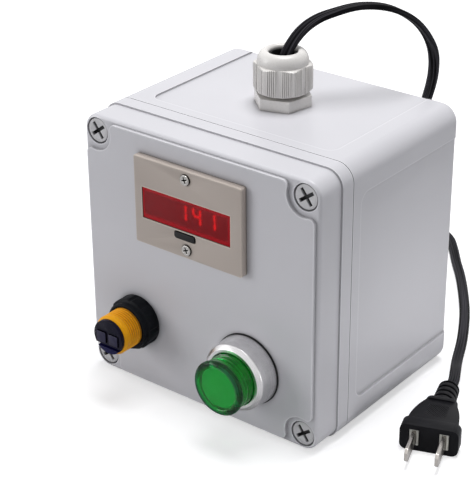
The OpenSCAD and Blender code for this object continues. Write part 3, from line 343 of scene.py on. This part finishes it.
def moulded_plastic(
        name, colour, shade, roughness, grain=0.0005, depth=0.00001, cloud=0.03, gloss=0.5):
    """Moulded plastic: broad faint clouds between two tones, and fine grain in gloss and relief."""
    uneven = 0.05
    finish = Finish(name)
    finish.set(Specular_IOR_Level=gloss)
    broad = finish.speckle(cloud, 2)
    fine = finish.speckle(grain, 3)
    finish.feed("Base Color", finish.between(finish.ranged(broad, 0, 1), colour, shade))
    finish.feed("Roughness", finish.ranged(fine, roughness - uneven, roughness + uneven))
    finish.raised(fine, depth)
    return finish


def painted_slot_shade(finish, face_y, depth, dark):
    """Paints shade into a screw's colour: dark between its face and a depth behind it, in its slots and
    round its rim.
    """
    rim = 0.15 * MM
    uneven = 0.12 * MM
    cloud = finish.ranged(finish.speckle(0.0012, 2), -uneven, uneven)
    behind = finish.calculated("ADD", finish.axes()["Y"], cloud)
    # painted shade: the colour turns dark just behind the screw's face
    finish.tint(finish.ranged(behind, 0, 1, face_y + rim, face_y + depth), dark)


def edged_plastic(name, colour, painted_highlight, dark, roughness, cloud, gloss, edge, crevice):
    """Moulded plastic: painted highlight along its outer edges, painted shade in its seams and inner
    corners.
    """
    shade = tuple(c * 0.96 for c in colour)
    finish = moulded_plastic(
        name, colour, shade, roughness, grain=0.0006, depth=0.000007, cloud=cloud, gloss=gloss)
    # painted highlight: outer edges carried towards a lighter colour
    finish.tint(finish.corner(edge, outer=True), painted_highlight)
    # painted shade: seams and inner corners carried towards a darker colour
    finish.tint(finish.corner(crevice, start=0.5), dark)
    return finish


def screw_plastic():
    """Satin grey plastic of the lid's screws, with painted shade in the crossed slots and round the
    head.
    """
    finish = moulded_plastic(
        "screw_plastic", (0.60, 0.595, 0.61), (0.55, 0.545, 0.56), 0.33, grain=0.0004, cloud=0.006)
    painted_slot_shade(finish, SCREW_FACE_Y, 1.3 * MM, (0.012, 0.012, 0.014))
    return finish


def plated_metal(name, colour, roughness):
    """Plated metal: short scratches that lie across each other, a little darker in their grooves."""
    scratch = 0.0006
    low, high = 0.8, 1.2
    finish = Finish(name)
    finish.set(Metallic=1.0)
    along = finish.speckle(scratch, 4, finish.stretched((0, 0, 0), (1, 6, 1)))
    across = finish.speckle(scratch, 4, finish.stretched((0, 0, 0), (6, 1, 1)))
    both = finish.calculated("ADD", along, across)
    dark = tuple(c * 0.78 for c in colour)
    finish.feed("Base Color", finish.between(finish.ranged(both, 0, 1, low, high), colour, dark))
    finish.feed("Roughness", finish.ranged(both, roughness - 0.06, roughness + 0.08, low, high))
    finish.raised(both, 0.000004)
    return finish


def counter_screw_steel():
    """Bright steel of the counter's front screws, with painted shade making the crossed slots dark."""
    finish = plated_metal("counter_screw_steel", (0.56, 0.545, 0.525), 0.22)
    painted_slot_shade(finish, BEZEL_FACE_Y - 0.8 * MM, 0.7 * MM, (0.03, 0.03, 0.03))
    return finish


def turned_metal(name, colour, roughness, centre):
    """Metal turned on a lathe about Y, with fine rings by the radius and the place along the axis."""
    finish = Finish(name)
    finish.set(Metallic=1.0)
    local = finish.stretched(centre, (1, 1, 1))
    x, y, z = finish.axes(local)
    joined = finish.nodes.new("ShaderNodeCombineXYZ")
    finish.links.new(finish.radius(x, z), joined.inputs[0])
    finish.links.new(y, joined.inputs[1])
    rings = finish.speckle(0.00022, 4, joined.outputs[0])
    smear = finish.ranged(finish.speckle(0.004, 2, local), 0, 1)
    finish.feed("Base Color", finish.between(smear, colour, tuple(c * 0.9 for c in colour)))
    finish.feed("Roughness", finish.ranged(rings, roughness - 0.07, roughness + 0.07))
    finish.raised(rings, 0.000006)
    return finish


def red_window():
    """Red filter plate: deep and clear in its middle, with a brighter solid band along its edges that
    is widest below."""
    lift = 0.4 * MM
    uneven = 0.2 * MM
    finish = Finish("window_red")
    finish.set(Roughness=0.45, IOR=1.25)
    centre = (COUNTER_X + WINDOW_DX, PANEL_Y, COUNTER_Z + WINDOW_DZ + lift)
    place = finish.counted_from(centre)
    side = finish.calculated("SUBTRACT", WINDOW_W / 2, finish.calculated("ABSOLUTE", place["X"]))
    half_height = WINDOW_H / 2 - lift
    top = finish.calculated("SUBTRACT", half_height, finish.calculated("ABSOLUTE", place["Z"]))
    edge = finish.calculated("MINIMUM", side, top)
    haze = finish.ranged(finish.speckle(0.006, 2), -uneven, uneven)
    band = finish.ranged(finish.calculated("ADD", edge, haze), 1, 0, 0.9 * MM, 1.7 * MM)
    finish.feed("Base Color", finish.between(band, (0.48, 0.012, 0.022), (0.42, 0.003, 0.010)))
    finish.feed("Transmission Weight", finish.ranged(band, 0.62, 0.06, 0, 1))
    return finish


def green_lens():
    """Clear green cap with a faint ripple left by the mould: painted shade darkens its thick rim, and it
    is frosted on the inside of its front, which shows through as a lighter disc."""
    finish = Finish("lens_green")
    finish.set(Roughness=0.06, IOR=1.3)
    x, y, z = finish.counted_from((BUTTON_X, PANEL_Y, BUTTON_Z))
    out = finish.radius(x, z)
    wave = finish.speckle(0.004, 2)
    clear = finish.between(finish.ranged(wave, 0, 1), (0.008, 0.56, 0.06), (0.012, 0.64, 0.08))
    # painted shade on the front of the rim
    front = finish.ranged(y, 1, 0, -18.8 * MM, -18.3 * MM)
    rim = finish.calculated("MULTIPLY", front, finish.ranged(out, 0, 1, 9.6 * MM, 10.8 * MM))
    with_painted_rim_shade = finish.between(rim, clear, (0.003, 0.085, 0.045))
    inside = finish.ranged(y, 0, 1, -19.8 * MM, -19.3 * MM)
    frosted = finish.calculated("MULTIPLY", inside, finish.ranged(out, 1, 0, 9.0 * MM, 9.2 * MM))
    finish.feed("Base Color", finish.between(frosted, with_painted_rim_shade, (0.52, 0.56, 0.50)))
    finish.feed("Transmission Weight", finish.ranged(frosted, 0.9, 0, 0, 1))
    finish.raised(wave, 0.00004)
    return finish


def glowing_bars():
    """Lit bars of the digits, a little brighter in spots."""
    finish = Finish("segment_lit")
    finish.set(Roughness=0.5, Emission_Strength=3.2)
    spot = finish.ranged(finish.speckle(0.002, 2), 0, 1)
    finish.feed("Base Color", finish.between(spot, (0.8, 0.03, 0.02), (0.9, 0.05, 0.03)))
    finish.feed("Emission Color", finish.between(spot, (1, 0.02, 0.01), (1, 0.04, 0.02)))
    return finish


def cord_sheath():
    """Soft black sheath: faint lengthwise streaks of painted sheen on the cord's own UV map, where U
    runs along it.
    """
    finish = Finish("cord_black")
    finish.set(Specular_IOR_Level=0.03)
    chart = finish.nodes.new("ShaderNodeUVMap")
    stretch = finish.nodes.new("ShaderNodeMapping")
    stretch.inputs["Scale"].default_value = (0.008, 1, 1)
    finish.links.new(chart.outputs[0], stretch.inputs["Vector"])
    streak = finish.speckle(0.0006, 3, stretch.outputs[0])
    # painted sheen: lighter streaks in the sheath's colour
    painted_highlight = finish.ranged(streak, 0, 1, 0.44, 0.64)
    finish.feed("Base Color", finish.between(painted_highlight, (0.004, 0.004, 0.005), (0.060, 0.058, 0.068)))
    finish.feed("Roughness", finish.ranged(streak, 0.3, 0.44))
    finish.raised(streak, 0.00002)
    return finish


def plug_rubber():
    """Soft black plastic of the plug, with a field of small diamonds on both faces of its grip."""
    pitch = 1.25 * MM
    field_place = 15.8 * MM
    finish = Finish("plug_black")
    finish.set(Specular_IOR_Level=0.1)
    place = finish.axes(finish.placed(PLUG_FACE, PLUG_TURN))
    x = place["X"]
    y = place["Y"]
    fine = finish.speckle(0.0004, 3)
    turns = 2 * math.pi / pitch
    rising = finish.calculated("MULTIPLY", finish.calculated("ADD", x, y), turns)
    falling = finish.calculated("MULTIPLY", finish.calculated("SUBTRACT", x, y), turns)
    diamonds = finish.calculated(
        "MAXIMUM", finish.calculated("SINE", rising), finish.calculated("SINE", falling))
    across = finish.ranged(finish.calculated("ABSOLUTE", x), 1, 0, 4.2 * MM, 4.5 * MM)
    along = finish.calculated("ABSOLUTE", finish.calculated("SUBTRACT", y, field_place))
    field = finish.calculated("MULTIPLY", across, finish.ranged(along, 1, 0, 4.3 * MM, 4.6 * MM))
    relief = finish.calculated(
        "ADD", finish.calculated("MULTIPLY", diamonds, field), finish.calculated("MULTIPLY", fine, 0.12))
    cloud = finish.ranged(finish.speckle(0.01, 2), 0, 1)
    finish.feed("Base Color", finish.between(cloud, (0.005, 0.005, 0.0065), (0.008, 0.008, 0.010)))
    finish.feed("Roughness", finish.ranged(fine, 0.36, 0.48))
    finish.raised(relief, 0.00016)
    return finish


def threaded_orange():
    """Orange of the sensor's barrel, with painted shade that makes it deeper in the grooves of its
    thread than on the crests and the plain end."""
    finish = moulded_plastic(
        "sensor_orange", (0.93, 0.42, 0.006), (0.88, 0.38, 0.005), 0.38, cloud=0.008, gloss=0.16)
    x, y, z = finish.counted_from((SENSOR_X, PANEL_Y, SENSOR_Z))
    groove = finish.ranged(finish.radius(x, z), 1, 0, 8.45 * MM, 8.75 * MM)
    behind = finish.ranged(y, 0, 1, -17.5 * MM, -16.5 * MM)
    # painted shade in the grooves of the thread, behind the plain end
    finish.tint(finish.calculated("MULTIPLY", groove, behind), (0.56, 0.21, 0.002))
    return finish


def sensor_violet():
    """Glossy dark cap of the sensor: nearly black above its channel and navy below it."""
    finish = moulded_plastic(
        "face_violet", (0.006, 0.006, 0.014), (0.010, 0.009, 0.022), 0.24,
        grain=0.0006, depth=0.000006, cloud=0.005, gloss=0.1)
    height = finish.counted_from((SENSOR_X, PANEL_Y, SENSOR_Z))["Z"]
    finish.tint(finish.ranged(height, 1, 0, -5.0 * MM, -4.4 * MM), (0.008, 0.008, 0.055))
    return finish


def block_violet():
    """Violet glass of the two lens blocks, with painted shade making the sides of the blocks black."""
    finish = moulded_plastic(
        "lens_dark", (0.034, 0.032, 0.066), (0.022, 0.020, 0.046), 0.14,
        grain=0.001, depth=0.000004, cloud=0.003, gloss=0.14)
    depth = finish.axes()["Y"]
    side = finish.ranged(depth, 0, 1, LENS_FACE_Y + 0.05 * MM, LENS_FACE_Y + 0.2 * MM)
    # painted shade: the sides of the blocks turn black
    finish.tint(side, (0.002, 0.002, 0.003))
    return finish


def make_finishes():
    """Every finish by its slot in the record, and two more for the lit bars and the counter's screws."""
    made = {
        # case, bezel and gland: painted highlight on outer edges, painted shade in seams and inner
        # corners
        "case_grey": edged_plastic(
            "case_grey", colour=(0.62, 0.615, 0.65), painted_highlight=(0.75, 0.745, 0.78),
            dark=(0.40, 0.395, 0.415), roughness=0.36, cloud=0.05, gloss=0.5,
            edge=0.8 * MM, crevice=2.6 * MM),
        "seal_rubber": moulded_plastic(
            "seal_rubber", (0.010, 0.010, 0.011), (0.016, 0.016, 0.017), 0.6,
            grain=0.0004, depth=0.00002, gloss=0.2),
        "screw_plastic": screw_plastic(),
        "bezel_taupe": edged_plastic(
            "bezel_taupe", colour=(0.47, 0.41, 0.37), painted_highlight=(0.72, 0.65, 0.57),
            dark=(0.20, 0.17, 0.15), roughness=0.42, cloud=0.02, gloss=0.35,
            edge=0.7 * MM, crevice=1.0 * MM),
        "window_red": red_window(),
        "dark_plastic": moulded_plastic(
            "dark_plastic", (0.010, 0.010, 0.011), (0.016, 0.016, 0.018), 0.45, gloss=0.2),
        "segment_red": moulded_plastic(
            "segment_red", (0.05, 0.006, 0.007), (0.07, 0.008, 0.010), 0.5, gloss=0.2),
        "segment_lit": glowing_bars(),
        "board_green": moulded_plastic("board_green", (0.02, 0.14, 0.05), (0.03, 0.18, 0.07), 0.3),
        "key_black": moulded_plastic(
            "key_black", (0.006, 0.006, 0.007), (0.011, 0.011, 0.012), 0.4, grain=0.0003, gloss=0.25),
        "bright_steel": plated_metal("bright_steel", (0.56, 0.53, 0.50), 0.27),
        "counter_screw_steel": counter_screw_steel(),
        "terminal_green": moulded_plastic(
            "terminal_green", (0.02, 0.13, 0.04), (0.03, 0.16, 0.05), 0.45),
        "sensor_orange": threaded_orange(),
        "face_violet": sensor_violet(),
        "lens_dark": block_violet(),
        "nut_black": moulded_plastic(
            "nut_black", (0.004, 0.005, 0.007), (0.008, 0.009, 0.012), 0.42,
            grain=0.0004, cloud=0.01, gloss=0.07),
        "ring_silver": turned_metal(
            "ring_silver", (0.72, 0.71, 0.72), 0.3, (BUTTON_X, PANEL_Y, BUTTON_Z)),
        "lens_green": green_lens(),
        "plunger_white": moulded_plastic("plunger_white", (0.75, 0.75, 0.72), (0.7, 0.7, 0.67), 0.45),
        "gland_white": edged_plastic(
            "gland_white", colour=(0.73, 0.71, 0.69), painted_highlight=(0.80, 0.78, 0.76),
            dark=(0.53, 0.51, 0.49), roughness=0.30, cloud=0.012, gloss=0.5,
            edge=0.5 * MM, crevice=1.6 * MM),
        "cord_black": cord_sheath(),
        "plug_black": plug_rubber(),
        "core_grey": moulded_plastic(
            "core_grey", (0.58, 0.58, 0.54), (0.50, 0.50, 0.46), 0.5,
            grain=0.0004, cloud=0.004, gloss=0.3),
    }
    return {slot: finish.material for slot, finish in made.items()}


# Shapes

def grid_faces(rows, columns):
    """Corner numbers of the quads between neighbouring rows and columns of a grid whose columns close
    on themselves."""
    r = np.arange(rows - 1)[:, None]
    c = np.arange(columns)[None, :]
    after = (c + 1) % columns
    low = r * columns
    high = low + columns
    corners = np.stack([low + c, low + after, high + after, high + c], -1)
    return corners.reshape(-1, 4).tolist()


def new_piece(name, points, faces, slot, body="station", smooth=True):
    """Mesh piece from points in metres and faces, riding on a body, with its finish."""
    mesh = bpy.data.meshes.new(name)
    mesh.from_pydata(np.asarray(points).reshape(-1, 3).tolist(), [], faces)
    mesh.polygons.foreach_set("use_smooth", np.full(len(mesh.polygons), smooth))
    piece = bpy.data.objects.new(name, mesh)
    bpy.context.collection.objects.link(piece)
    mesh.materials.append(finishes[slot])
    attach(piece, body)
    return piece


def closed_up(piece):
    """Merges a piece's doubled points at seams and poles, and turns its faces outwards."""
    work = bmesh.new()
    work.from_mesh(piece.data)
    bmesh.ops.remove_doubles(work, verts=work.verts, dist=SEAM_DISTANCE)
    bmesh.ops.dissolve_degenerate(work, edges=work.edges, dist=SEAM_DISTANCE)
    bmesh.ops.recalc_face_normals(work, faces=work.faces)
    work.to_mesh(piece.data)
    work.free()


def on_panel(x, z, local):
    """Points from a place on the raised panel, local Z pointing out of it, to the shared frame."""
    local = np.asarray(local)
    return np.stack([x + local[..., 0], PANEL_Y - local[..., 2], z + local[..., 1]], -1)


def softened_outline(corners, radius):
    """Open outline with each inner corner replaced by a short curve that starts and ends a radius away
    from it: the point at share t is (1-t)^2 start + 2t(1-t) corner + t^2 end."""
    steps = 4
    largest_share = 0.45
    corners = np.asarray(corners, float)
    before = corners[1:-1] - corners[:-2]
    after = corners[2:] - corners[1:-1]
    long_before = np.linalg.norm(before, axis=1, keepdims=True)
    long_after = np.linalg.norm(after, axis=1, keepdims=True)
    reach = np.minimum(radius, largest_share * np.minimum(long_before, long_after))
    start = corners[1:-1] - before / long_before * reach
    end = corners[1:-1] + after / long_after * reach
    middle = corners[1:-1, None]
    t = np.linspace(0, 1, steps + 1)[None, :, None]
    curve = (1 - t) ** 2 * start[:, None] + 2 * t * (1 - t) * middle + t ** 2 * end[:, None]
    return np.vstack([corners[:1], curve.reshape(-1, 2), corners[-1:]])


def turned_piece(name, outline, x, z, slot, body="station", around=160):
    """Outline of (radius, height) in millimetres carried once round an axis out of the panel:
    (r cos a, r sin a, h)."""
    outline = np.asarray(outline) * MM
    angle = np.linspace(0, 2 * math.pi, around, endpoint=False)
    radius = outline[:, :1]
    height = outline[:, 1:] * np.ones((1, around))
    local = np.stack([radius * np.cos(angle), radius * np.sin(angle), height], -1)
    piece = new_piece(name, on_panel(x, z, local), grid_faces(len(outline), around), slot, body)
    closed_up(piece)
    return piece


def smooth_route(route, steps):
    """Smooth curve through a route's points: between b and c, with a before and d after,
    (2b + (c-a)t + (2a-5b+4c-d)t^2 + (3b-a-3c+d)t^3) / 2."""
    p = np.asarray(route, float)
    p = np.vstack([p[:1], p, p[-1:]])
    a, b, c, d = (p[i:len(p) - 3 + i, None] for i in range(4))
    t = (np.arange(steps) / steps)[None, :, None]
    square = 2 * a - 5 * b + 4 * c - d
    cube = 3 * b - a - 3 * c + d
    rows = (2 * b + (c - a) * t + square * t ** 2 + cube * t ** 3) / 2
    return np.vstack([rows.reshape(-1, 3), p[-1:]])


def power_cord():
    """Flat twin cord: two round lobes side by side, joined by a thin web, carried along the route. At
    angle a the section reaches w/2 cos a across and t/2 sin a upwards, with soft powers of both that
    make the lobes round, and less by 0.42 exp(-(3 cos a)^2) of its height in the groove between them."""
    steps = 8
    around = 48
    power_across = 0.8
    power_up = 0.7
    groove_share = 0.42
    groove_narrowness = 3
    path = smooth_route(CORD_ROUTE, steps) * MM
    heading = np.gradient(path, axis=0)
    heading[0] = (0, 0, 1)
    heading[-1] = (math.sin(PLUG_TURN), -math.cos(PLUG_TURN), 0)
    heading /= np.linalg.norm(heading, axis=1, keepdims=True)
    share = np.clip(np.arange(len(path)) / (CORD_TWIST_STEPS * steps), 0, 1)[:, None]
    facing = CORD_EXIT_FACING * (1 - share) + np.array([0, 0, 1]) * share
    across = np.cross(facing, heading)
    across /= np.linalg.norm(across, axis=1, keepdims=True)
    over = np.cross(heading, across)
    a = np.arange(around) / around * 2 * math.pi
    wide = CORD_W / 2 * np.sign(np.cos(a)) * np.abs(np.cos(a)) ** power_across
    groove = 1 - groove_share * np.exp(-(groove_narrowness * np.cos(a)) ** 2)
    high = CORD_T / 2 * np.sign(np.sin(a)) * np.abs(np.sin(a)) ** power_up * groove
    points = path[:, None] + across[:, None] * wide[None, :, None] + over[:, None] * high[None, :, None]
    rows = len(path)
    ends = [list(range(around))[::-1], list(range((rows - 1) * around, rows * around))]
    cord = new_piece("power_cord_sheath", points, grid_faces(rows, around) + ends, "cord_black")
    run = np.concatenate([[0], np.cumsum(np.linalg.norm(np.diff(path, axis=0), axis=1))])
    chart = cord.data.uv_layers.new(name="along")
    corner = np.empty(len(cord.data.loops), np.int32)
    cord.data.loops.foreach_get("vertex_index", corner)
    places = np.stack([run[corner // around], np.abs(wide[corner % around])], -1)
    chart.data.foreach_set("uv", places.astype(np.float32).ravel())
    closed_up(cord)
    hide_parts("power_cord")


def softened_copy(node, width, segments=2, body="station", finish=None, even=False):
    """Merged copy of a solid with its sharp edges rounded by a width in millimetres, in place of the
    solid. Even shading keeps wide flat faces flat where they run into a curve."""
    mesh = frame["nodes"][node].data.copy()
    mesh.name = node + "_moulded"
    work = bmesh.new()
    work.from_mesh(mesh)
    bmesh.ops.remove_doubles(work, verts=work.verts, dist=JOIN_DISTANCE)
    bmesh.ops.dissolve_degenerate(work, edges=work.edges, dist=SLIVER_LENGTH)
    bmesh.ops.dissolve_limit(work, angle_limit=ONE_FACE_ANGLE, verts=work.verts, edges=work.edges)
    work.to_mesh(mesh)
    work.free()
    mesh.materials.clear()
    mesh.materials.append(finishes[finish or slots[node]])
    mesh.polygons.foreach_set("use_smooth", np.ones(len(mesh.polygons), bool))
    piece = bpy.data.objects.new(node + "_moulded", mesh)
    bpy.context.collection.objects.link(piece)
    bevel = piece.modifiers.new("rounded_edges", "BEVEL")
    bevel.width = width * MM
    bevel.segments = segments
    bevel.limit_method = "ANGLE"
    bevel.angle_limit = SHARP_EDGE_ANGLE
    bevel.use_clamp_overlap = True
    bevel.harden_normals = not even
    if even:
        flat = piece.modifiers.new("flat_faces_stay_flat", "WEIGHTED_NORMAL")
        flat.mode = "FACE_AREA"
        flat.weight = 100
    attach(piece, body)
    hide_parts(node)
    return piece


# Pieces

def pointed_bar(length, bar):
    """Six corners of a flat bar with pointed ends, lying along X."""
    end = length / 2
    e = bar / 2
    return np.array([(-end, 0), (e - end, -e), (end - e, -e), (end, 0), (end - e, e), (e - end, e)])


def lit_display():
    """Bars of six digits in millimetres, the lit ones in a finish of their own. Bar k of digit n has the
    six corners of its ring, moved to the bar's middle and by (n - 2.5) pitches along X, at a low and a
    high level."""
    lit = {2: "bc", 3: "bcfg", 4: "bc"}
    digits, pitch, wide, tall, bar, gap = 6, 7.6, 4.4, 8.2, 0.9, 0.15
    levels = np.array([-0.4, -0.2])
    side = (wide - bar) / 2
    top = (tall - bar) / 2
    lying = pointed_bar(wide - bar - 2 * gap, bar)
    upright = pointed_bar((tall - bar) / 2 - 2 * gap, bar)[:, ::-1] * (-1, 1)
    bars = {
        "a": (lying, 0, top), "d": (lying, 0, -top), "g": (lying, 0, 0),
        "f": (upright, -side, top / 2), "b": (upright, side, top / 2),
        "e": (upright, -side, -top / 2), "c": (upright, side, -top / 2),
    }
    rings = np.array([ring + (x, z) for ring, x, z in bars.values()])
    steps = (np.arange(digits) - 2.5) * pitch
    flat = rings[None] + np.stack([steps, 0 * steps], -1)[:, None, None]
    flat = flat.reshape(-1, 1, 6, 2) * np.ones((1, 2, 1, 1))
    height = levels[None, :, None, None] * np.ones((len(flat), 1, 6, 1))
    local = np.concatenate([flat, height], -1) * MM
    low = np.arange(len(flat))[:, None] * 12 + np.arange(6)
    after = np.roll(low, -1, axis=1)
    caps = np.stack([low[:, ::-1], low + 6], 1)
    sides = np.stack([low, after, after + 6, low + 6], -1)
    glow = np.array([key in lit.get(digit, "") for digit in range(digits) for key in bars])
    placed = on_panel(COUNTER_X + WINDOW_DX, COUNTER_Z + WINDOW_DZ, local)
    faces = caps.reshape(-1, 6).tolist() + sides.reshape(-1, 4).tolist()
    piece = new_piece("digit_bars", placed, faces, "segment_red", smooth=False)
    piece.data.materials.append(finishes["segment_lit"])
    glowing = np.concatenate([np.repeat(glow, 2), np.repeat(glow, 6)])
    piece.data.polygons.foreach_set("material_index", glowing.astype(np.int32))
    closed_up(piece)
    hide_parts("display_segments")


def threaded_barrel():
    """Sensor barrel with a thread of pitch p and depth 0.6 on radius 9, in millimetres:
    s = 1 - |2 frac(h/p - a/2pi) - 1| is the share of the way to a crest, and r = 9 - 0.6 (1 - s). The
    thread runs out before the bevelled front and at the rear end, and the wall is closed by flat end
    rings."""
    around = 96
    rows_per_mm = 12
    crest, depth, pitch = 9, 0.6, 1.25
    low, high, front_end, front_radius = -34.0, 17.6, 18.5, 8.1
    plain_end, front_runout, rear_runout = 1.2, 1.6, 0.6
    bore, bore_end = 7.4, 16.5
    rows = int((high - low) * rows_per_mm) + 1
    h = np.linspace(low, high, rows)[:, None]
    a = (np.arange(around) / around * 2 * math.pi)[None, :]
    share = 1 - np.abs(2 * np.mod(h / pitch - a / (2 * math.pi), 1) - 1)
    in_front = np.clip((high - plain_end - h) / front_runout, 0, 1)
    at_rear = np.clip((h - low) / rear_runout, 0, 1)
    radius = crest - depth * in_front * at_rear * (1 - share)
    outer = np.stack([radius * np.cos(a), radius * np.sin(a), h + 0 * a], -1)
    inner_outline = np.array([(0, bore_end), (bore, bore_end), (bore, low)])
    front_outline = softened_outline([(crest, high), (front_radius, front_end), (0, front_end)], 0.3)
    inner, front = (
        np.stack([line[:, :1] * np.cos(a), line[:, :1] * np.sin(a), line[:, 1:] + 0 * a], -1)
        for line in (inner_outline, front_outline))
    wall = on_panel(SENSOR_X, SENSOR_Z, np.vstack([inner, outer, front]) * MM)
    piece = new_piece("sensor_thread", wall, grid_faces(len(wall), around), "sensor_orange")
    closed_up(piece)
    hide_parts("sensor_barrel")


def button_ring():
    """Turned ring with a flared foot, a bright bevel and a sleeve behind the panel."""
    outline = softened_outline([
        (9.6, -16), (10.9, -16), (10.9, 0.7), (15.8, 0.7), (15.1, 9.4), (13.5, 11), (12.05, 11),
        (12.05, 1.6), (9.6, 1.6), (9.6, -16),
    ], 0.22)
    piece = turned_piece("button_ring_turned", outline, BUTTON_X, BUTTON_Z, "ring_silver")
    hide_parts("button_ring")


def button_lens():
    """Lens cap: a neck with four shallow grooves outside and four inside, a round rim and a sunk front
    disc of height 20.6 + 0.35 (1 - (r/9.3)^2)."""
    neck, bore, foot = 11.7, 9.9, 7.95
    first_groove, groove_pitch = 9.4, 2.2
    first_inner, inner_pitch = 15.6, 1.6
    disc_height, dome, disc_radius = 20.6, 0.35, 9.3
    groove = ((0, 0), (0.45, 0.14), (1.0, 0.14), (1.45, 0))
    inner_groove = ((0, 0), (0.4, 0.22), (0.8, 0))
    grooves = [
        (neck - sunk, first_groove + groove_pitch * k + along)
        for k in range(4) for along, sunk in groove]
    rim = [(neck, 18.2), (12.35, 18.9), (12.35, 20.1), (11.4, 21), (9.9, 21), (9.4, 20.55)]
    disc = [(r, disc_height + dome * (1 - (r / disc_radius) ** 2)) for r in (8.8, 8, 6, 4, 2, 0)]
    inner_grooves = [
        (bore + sunk, first_inner - inner_pitch * k - along)
        for k in range(4) for along, sunk in inner_groove]
    inside = [(0, 19), (8.9, 19), (8.9, 18), (bore, 16.6)] + inner_grooves + [(bore, foot)]
    outer = [(bore, foot), (neck, foot)] + grooves + rim + disc[:1]
    outline = np.vstack([softened_outline(outer, 0.35), disc[1:], softened_outline(inside, 0.2)])
    piece = turned_piece(
        "button_lens_cap", outline, BUTTON_X, BUTTON_Z, "lens_green", "lamp_button", around=200)
    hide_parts("button_lens")


def paint_nodes():
    """Finish of every solid, by its slot in the record."""
    for name, solid in frame["nodes"].items():
        solid.data.materials.clear()
        solid.data.materials.append(finishes[slots[name]])


finishes = make_finishes()
slots = {part["node"]: part["material_slot"] for part in frame["record"]["subparts"]}
photo_camera()
studio_light()
white_floor()
paint_nodes()
softened_copy("case_base", width=0.14, even=True)
softened_copy("case_lid", width=0.22, segments=3, even=True)
softened_copy("lid_screws", width=0.15)
softened_copy("counter_bezel", width=0.2)
softened_copy("counter_window", width=0.25)
softened_copy("counter_screws", width=0.2, segments=3, finish="counter_screw_steel")
softened_copy("reset_key", width=0.3, segments=3, body="reset_key")
softened_copy("sensor_face", width=0.2)
softened_copy("sensor_lenses", width=0.1)
softened_copy("sensor_front_nut", width=0.3)
softened_copy("sensor_rear_nut", width=0.3)
softened_copy("button_gasket", width=0.2)
softened_copy("gland_body", width=0.35, segments=3)
softened_copy("gland_dome_nut", width=0.06, segments=1)
plug_pieces = [
    softened_copy("plug_body", width=0.6, segments=3),
    softened_copy("plug_core", width=0.2),
    softened_copy("plug_blades", width=0.2),
]
power_cord()
lit_display()
threaded_barrel()
button_ring()
button_lens()
